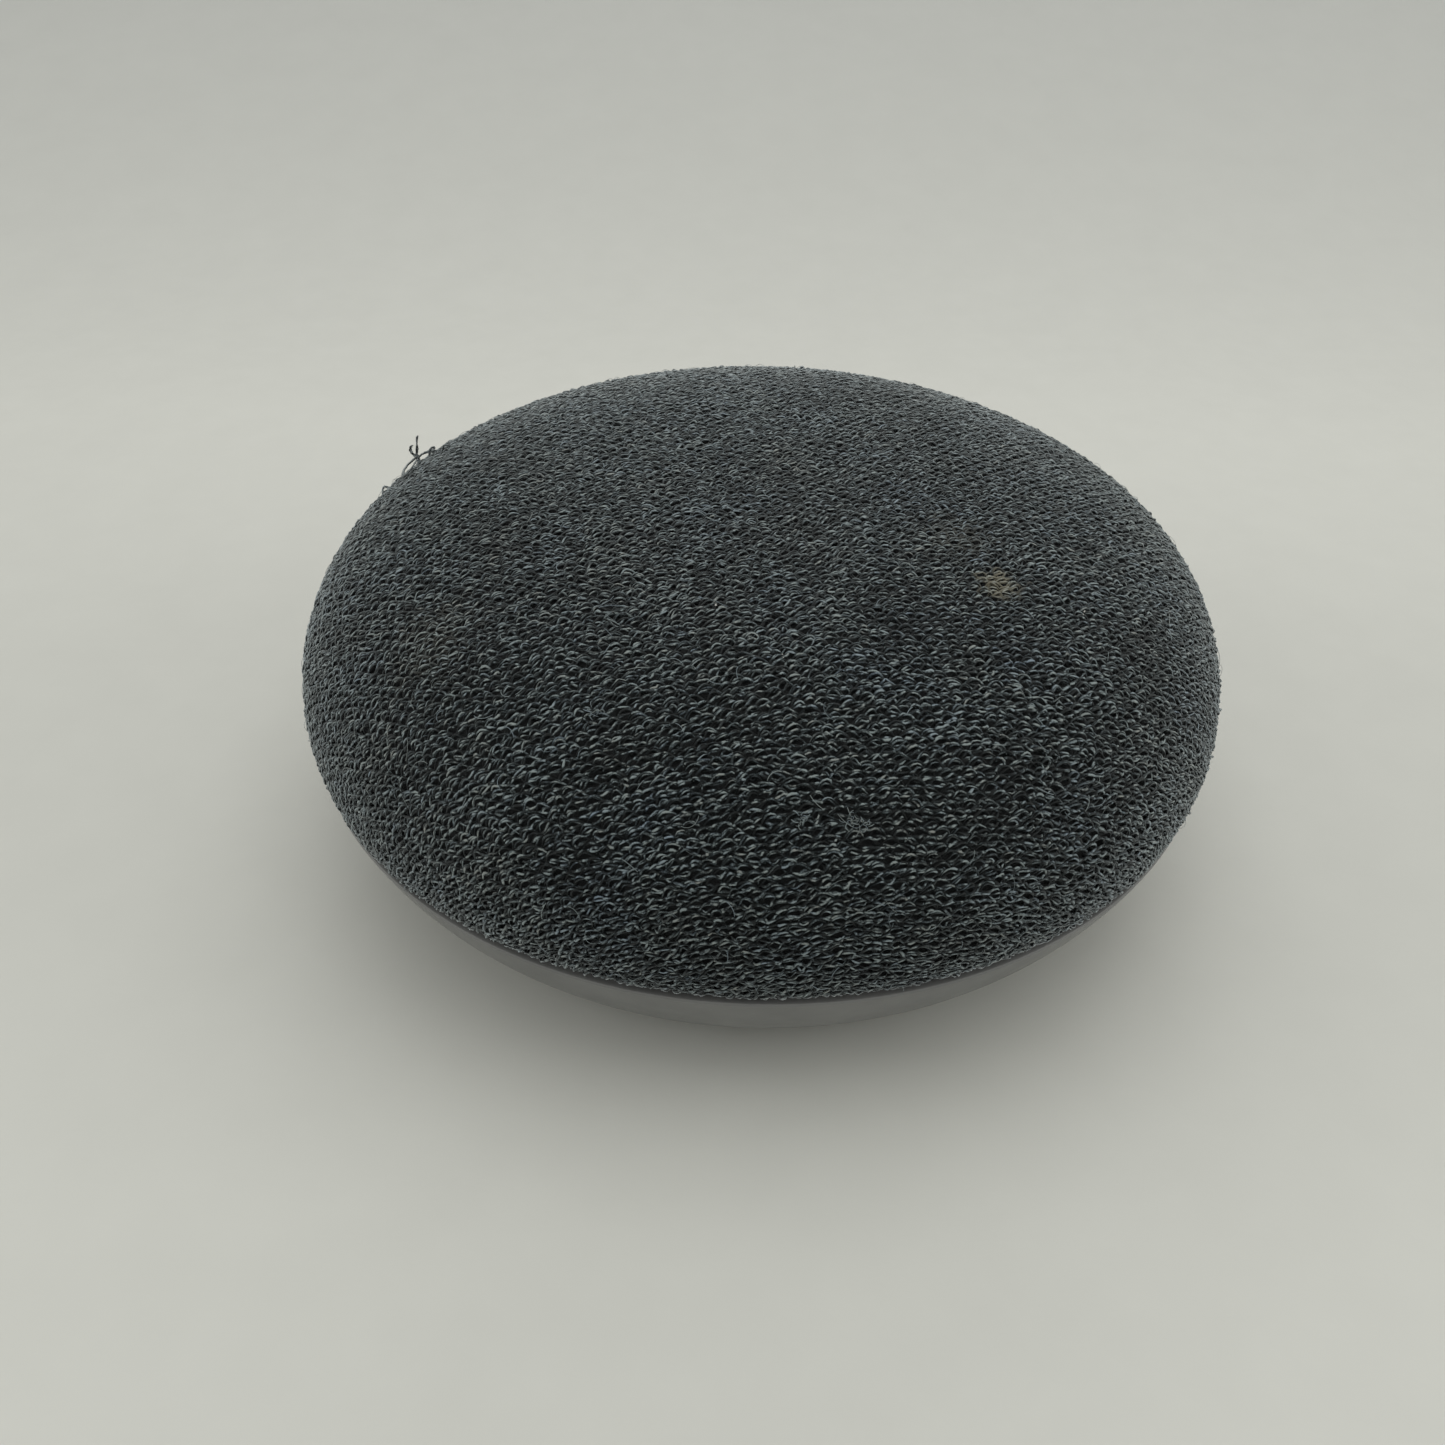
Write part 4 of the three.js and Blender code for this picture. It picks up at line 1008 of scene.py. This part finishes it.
def socket_shell(material):
    """A pressed micro socket: a six-sided sleeve with flared lips and a closed back."""
    half = (SOCKET_HIGH.x - SOCKET_LOW.x) / 2
    low, high, wall = SOCKET_LOW.z, SOCKET_HIGH.z, 0.28 * MM
    waist = low + 0.45 * (high - low)

    def section(shrink, grow=0.0):
        side = half - shrink + grow
        bottom = half * 0.76 - shrink + grow
        floor, top = low + shrink - grow, high - shrink + grow
        return [(-side, top), (-side, waist), (-bottom, floor), (bottom, floor), (side, waist), (side, top)]

    front, back, flare = SOCKET_HIGH.y, SOCKET_LOW.y, 0.25 * MM
    loops = [
        (section(0), back),
        (section(0), front - 0.5 * MM),
        (section(0, flare), front),
        (section(wall, flare), front),
        (section(wall), front - 0.6 * MM),
        (section(wall), back + 0.6 * MM),
    ]
    bm = bmesh.new()
    rings = [[bm.verts.new((x, y, z)) for x, z in outline] for outline, y in loops]
    for near, far in zip(rings, rings[1:]):
        for k in range(6):
            bm.faces.new([near[k], near[(k + 1) % 6], far[(k + 1) % 6], far[k]])
    bm.faces.new(rings[0])
    bm.faces.new(rings[-1])
    bmesh.ops.recalc_face_normals(bm, faces=bm.faces)
    shell = link_bmesh("socket_shell", bm, material)
    soften(shell, 0.08 * MM, 2, 25)
    apply_modifiers(shell)
    return smooth(shell)


def socket_contacts(material):
    """Five gilt springs along the tongue."""
    low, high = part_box("power_socket_tongue")
    strips = []
    for k in range(5):
        place = Matrix.Translation(((k - 2) * 0.75 * MM, (low.y + high.y) / 2 + 0.2 * MM, low.z - 0.04 * MM))
        strips.append(rounded_box("contact", (0.34 * MM, 3.6 * MM, 0.12 * MM), 0.03 * MM, material, 2, place))
    return joined_pieces("socket_contacts", strips)


def joined_pieces(name, parts):
    bm = bmesh.new()
    for part in parts:
        bm.from_mesh(part.data)
    material = parts[0].data.materials[0]
    for part in parts:
        bpy.data.objects.remove(part)
    return smooth(link_bmesh(name, bm, material))


def base_material():
    """Spark-textured grey plastic, rubbed a little smoother here and there, with a few faint scuffs."""
    material = new_material("base_plastic", (0.2, 0.2, 0.2), 0.5, Specular_IOR_Level=0.6)
    dark, light = (0.136, 0.138, 0.135), (0.170, 0.171, 0.167)
    colour = two_tone(material, noise(material, 14 * MM, 4), dark, light)
    specks = two_tone(material, noise(material, 0.5 * MM, 1), (0, 0, 0), (1, 1, 1), 0.70, 0.78)
    colour = mixed(material, maths(material, "MULTIPLY", specks, 0.10), colour, (0.42, 0.42, 0.40))
    plug(material, "Base Color", colour)
    plug(material, "Roughness", spread(material, noise(material, 5 * MM, 5), 0.36, 0.52))
    roughen(material, noise(material, 0.22 * MM, 2), 0.010 * MM)
    return material


def make_base():
    plastic = base_material()
    silicone = moulded("foot_silicone", (0.075, 0.076, 0.076), 0.8, 0.3 * MM, 0.012 * MM, 0.15)
    tin = moulded("socket_tin", (0.62, 0.62, 0.60), 0.33, 0.1 * MM, 0.002 * MM, 0.05, metallic=1.0)
    gilt = moulded("contact_gilt", (0.80, 0.58, 0.25), 0.3, 0.1 * MM, 0.002 * MM, 0.05, metallic=1.0)
    pieces = {
        "base_plastic": (base_shell(plastic), "bottom_shell"),
        "foot_silicone": (foot_pad(silicone), "foot_pad"),
        "tin_plate": (socket_shell(tin), "power_socket"),
    }
    for slot, (piece, node) in pieces.items():
        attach(piece, "root")
        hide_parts(node)
    contacts = socket_contacts(gilt)
    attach(contacts, "root")
    for node in ("mute_slider", "reset_button"):
        NODES[node].data.materials.clear()
        NODES[node].data.materials.append(plastic)


make_base()

# ---------- carried-over pieces


def board_material(name):
    """Green solder mask over copper tracks and pads."""
    material = new_material(name, (0.02, 0.10, 0.06), 0.42)
    where = object_space(material)
    cells = {"Vector": where, "Scale": 1 / (1.4 * MM)}
    pads = add_node(material, "ShaderNodeTexVoronoi", cells, distance="CHEBYCHEV").outputs["Distance"]
    rows = {"Vector": where, "Scale": 1 / (2.4 * MM)}
    tracks = add_node(material, "ShaderNodeTexBrick", rows).outputs["Fac"]
    dark, light = (0.012, 0.075, 0.045), (0.02, 0.115, 0.07)
    mask = two_tone(material, noise(material, 3 * MM, 3), dark, light)
    tracked = mixed(material, maths(material, "MULTIPLY", tracks, 0.5), mask, (0.05, 0.19, 0.11))
    gilt = two_tone(material, pads, (1, 1, 1), (0, 0, 0), 0.10, 0.14)
    plug(material, "Base Color", mixed(material, gilt, tracked, (0.62, 0.50, 0.26)))
    plug(material, "Roughness", spread(material, noise(material, 2 * MM, 3), 0.34, 0.52))
    roughen(material, tracks, 0.02 * MM)
    return material


WAVE_TURN = 3.14  # about how many waves the texture has in a unit of length, at a scale of one


def banded(name, first, second, pitch, direction, roughness, metallic=0.0, depth=0.03 * MM):
    """Parallel bands, for windings, ribbon tracks and brushed metal. Pitch is from band to band."""
    material = new_material(name, first, roughness, metallic)
    scale = 1 / (pitch * WAVE_TURN)
    inputs = {"Vector": object_space(material), "Scale": scale, "Distortion": 0.4, "Detail": 1.0}
    wave = add_node(material, "ShaderNodeTexWave", inputs, bands_direction=direction).outputs["Fac"]
    plug(material, "Base Color", two_tone(material, wave, first, second, 0.35, 0.65))
    handled = noise(material, 3 * MM, 3)
    plug(material, "Roughness", spread(material, handled, roughness - 0.06, roughness + 0.06))
    roughen(material, wave, depth)
    return material


def woven(name, colour, pitch, roughness):
    """Pressed or woven fibres: crossed bands broken up by noise."""
    material = new_material(name, colour, roughness)
    where = object_space(material)
    inputs = {"Vector": where, "Scale": 1 / (pitch * WAVE_TURN)}
    bands = [add_node(material, "ShaderNodeTexWave", inputs, bands_direction=axis) for axis in "XY"]
    cross = maths(material, "MULTIPLY", *(wave.outputs["Fac"] for wave in bands))
    height = maths(material, "ADD", cross, noise(material, pitch, 4))
    dark, light = shades(colour, 0.25)
    plug(material, "Base Color", two_tone(material, height, dark, light, 0.3, 1.1))
    roughen(material, height, pitch / 8)
    return material


INNER_FINISHES = {  # the function that makes each slot's finish, and its values
    "dark_plastic": (moulded, (0.012, 0.012, 0.013), 0.55),
    "circuit_board": (board_material,),
    "tin_plate": (moulded, (0.60, 0.61, 0.61), 0.34, 0.2 * MM, 0.004 * MM, 0.06, 1.0),
    "black_resin": (moulded, (0.014, 0.014, 0.015), 0.5, 0.08 * MM, 0.004 * MM, 0.1),
    "white_resin": (moulded, (0.75, 0.74, 0.69), 0.35, 0.15 * MM, 0.003 * MM, 0.03),
    "clear_resin": (moulded, (0.80, 0.81, 0.82), 0.2, 0.3 * MM, 0.002 * MM, 0.02),
    "steel": (moulded, (0.45, 0.46, 0.47), 0.32, 0.12 * MM, 0.003 * MM, 0.08, 1.0),
    "cast_aluminium": (moulded, (0.56, 0.57, 0.58), 0.55, 0.3 * MM, 0.02 * MM, 0.06, 1.0),
    "ferrite": (moulded, (0.035, 0.035, 0.038), 0.5, 0.1 * MM, 0.01 * MM, 0.12),
    "copper_wire": (banded, (0.42, 0.16, 0.06), (0.75, 0.36, 0.17), 0.18 * MM, "Z", 0.35, 1.0),
    "cone_paper": (woven, (0.012, 0.012, 0.013), 0.25 * MM, 0.9),
    "spider_cloth": (woven, (0.34, 0.21, 0.06), 0.35 * MM, 0.9),
    "black_rubber": (moulded, (0.010, 0.010, 0.011), 0.75, 0.3 * MM, 0.008 * MM, 0.12),
    "thermal_rubber": (moulded, (0.28, 0.33, 0.40), 0.85, 0.5 * MM, 0.03 * MM, 0.1),
    "ribbon_film": (banded, (0.36, 0.15, 0.02), (0.58, 0.26, 0.06), 0.5 * MM, "Y", 0.4),
    "red_insulation": (moulded, (0.38, 0.012, 0.012), 0.45, 0.3 * MM, 0.004 * MM, 0.1),
    "orange_film": (moulded, (0.74, 0.14, 0.015), 0.45, 0.2 * MM, 0.003 * MM, 0.05),
}


FLEXING_RINGS = {  # slot, and the radii where the ring leaves the cone and where it meets the basket
    "surround": ("black_rubber", 16.4 * MM, 19.4 * MM),
    "spider": ("spider_cloth", 6.4 * MM, 16.9 * MM),
}


def finish_inner_pieces():
    """Gives every node that still shows the finish of its slot, with smooth curves and softened edges."""
    made = {}
    for row in frame["record"]["subparts"]:
        node = NODES[row["node"]]
        slot = row["material_slot"]
        if slot in INNER_FINISHES:
            if slot not in made:
                kind, *values = INNER_FINISHES[slot]
                made[slot] = kind(slot, *values)
            node.data.materials.clear()
            node.data.materials.append(made[slot])
        smooth(node, 30)
        soften(node, 0.1 * MM)
    return made


def flexing_ring(node, slot, material, inner, outer):
    """A soft ring between the cone and the basket, which moves with the cone only at its inner edge."""
    mesh = NODES[node].data.copy()
    mesh.transform(NODES[node].matrix_world)
    mesh.materials.clear()
    ring = smooth(link(f"{node}_ring", mesh, material), 30)
    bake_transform(ring, "root", "cone_assembly", (0, 0, 0), (0, 0, 1))
    radius = np.array([math.hypot(vertex.co.x, vertex.co.y) for vertex in ring.data.vertices])
    # The share of the cone's movement falls with the radius, so each rolled edge stays on what holds it.
    weights = eased(np.clip((outer - radius) / (outer - inner), 0, 1))
    set_all(ring.data.attributes["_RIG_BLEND"].data, "value", weights)
    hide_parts(node)


def make_inner_pieces():
    finishes = finish_inner_pieces()
    for node, (slot, inner, outer) in FLEXING_RINGS.items():
        flexing_ring(node, slot, finishes[slot], inner, outer)


make_inner_pieces()

# ---------- stage and light

FLOOR_HALF_WIDTH, FLOOR_FRONT, FLOOR_BACK = 3.0, -2.0, 3.0
FOLD_Y, FOLD_BEND, FOLD_STEPS = 0.13, 0.22, 12  # where the floor starts to rise, and the radius it bends by
RAMP_RUN, RAMP_SLOPE = 0.12, math.radians(24)
FLOOR_SHADED = (0.10, 0.34)  # where the floor starts to darken, and where it is darkest
SOFT_WHITE = (1.0, 1.0, 0.98)


def floor_line():
    """The floor's section: level, bent up into the ramp, and bent level again at its top."""
    angles = np.linspace(0, RAMP_SLOPE, FOLD_STEPS + 1)
    bend = FOLD_BEND * np.stack([np.sin(angles), 1 - np.cos(angles)], 1)
    foot = bend + (FOLD_Y, 0)
    top = foot[-1] + (RAMP_RUN, RAMP_RUN * math.tan(RAMP_SLOPE)) + bend[-1] - bend[::-1]
    return [(FLOOR_FRONT, 0), *foot, *top, (FLOOR_BACK, top[-1, 1])]


def make_stage():
    """A wide pale floor with a shallow ramp behind the speaker, with painted shade darkening it towards the
    back.
    """
    material = moulded("floor", (0.61, 0.615, 0.573), 0.6, grain=0.8 * MM, depth=0.01 * MM, mottle=0.012)
    shader = material.node_tree.nodes["Principled BSDF"]
    even = shader.inputs["Base Color"].links[0].from_socket
    # Painted shade: the floor's colour darkens towards the back.
    depth = add_node(material, "ShaderNodeSeparateXYZ", {"Vector": object_space(material)}).outputs["Y"]
    shade = spread(material, depth, 0.0, 1.0, *FLOOR_SHADED)
    shaded = two_tone(material, shade, (1, 1, 1), (0.71, 0.72, 0.74), 0, 1)
    plug(material, "Base Color", mixed(material, 1.0, even, shaded, "MULTIPLY"))
    bm = bmesh.new()
    sides = (-FLOOR_HALF_WIDTH, FLOOR_HALF_WIDTH)
    rows = [[bm.verts.new((x, y, z)) for x in sides] for y, z in floor_line()]
    for near, far in zip(rows, rows[1:]):
        bm.faces.new([near[0], near[1], far[1], far[0]])
    smooth(link_bmesh("floor", bm, material), 60)


def add_area_light(name, place, aim, size, power):
    light = bpy.data.lights.new(name, "AREA")
    light.shape = "RECTANGLE"
    light.size, light.size_y = size
    light.energy = power
    light.color = SOFT_WHITE
    lamp = bpy.data.objects.new(name, light)
    direction = Vector(aim) - Vector(place)
    lamp.matrix_world = Matrix.Translation(place) @ direction.to_track_quat("-Z", "Y").to_matrix().to_4x4()
    bpy.context.scene.collection.objects.link(lamp)


def make_light():
    """A white tent: soft light all round, with panels behind, above and at both sides."""
    world = bpy.data.worlds.new("world")
    bpy.context.scene.world = world
    world.use_nodes = True
    tent = world.node_tree.nodes["Background"]
    tent.inputs["Color"].default_value = (1.0, 1.0, 0.97, 1)
    tent.inputs["Strength"].default_value = 0.50
    add_area_light("panel_back", (0.05, 1.3, 0.75), (0, 0, 0), (1.4, 0.7), 2.3)
    add_area_light("panel_top", (0.04, 0.0, 0.5), (0.02, 0.0, 0), (0.5, 0.5), 0.85)
    for name, side in (("panel_left", -1), ("panel_right", 1)):
        add_area_light(name, (0.9 * side, -0.1, 0.35), (0, 0, 0.02), (0.6, 0.5), 2.2)


make_stage()
make_light()
bpy.context.scene.view_settings.view_transform = "Standard"
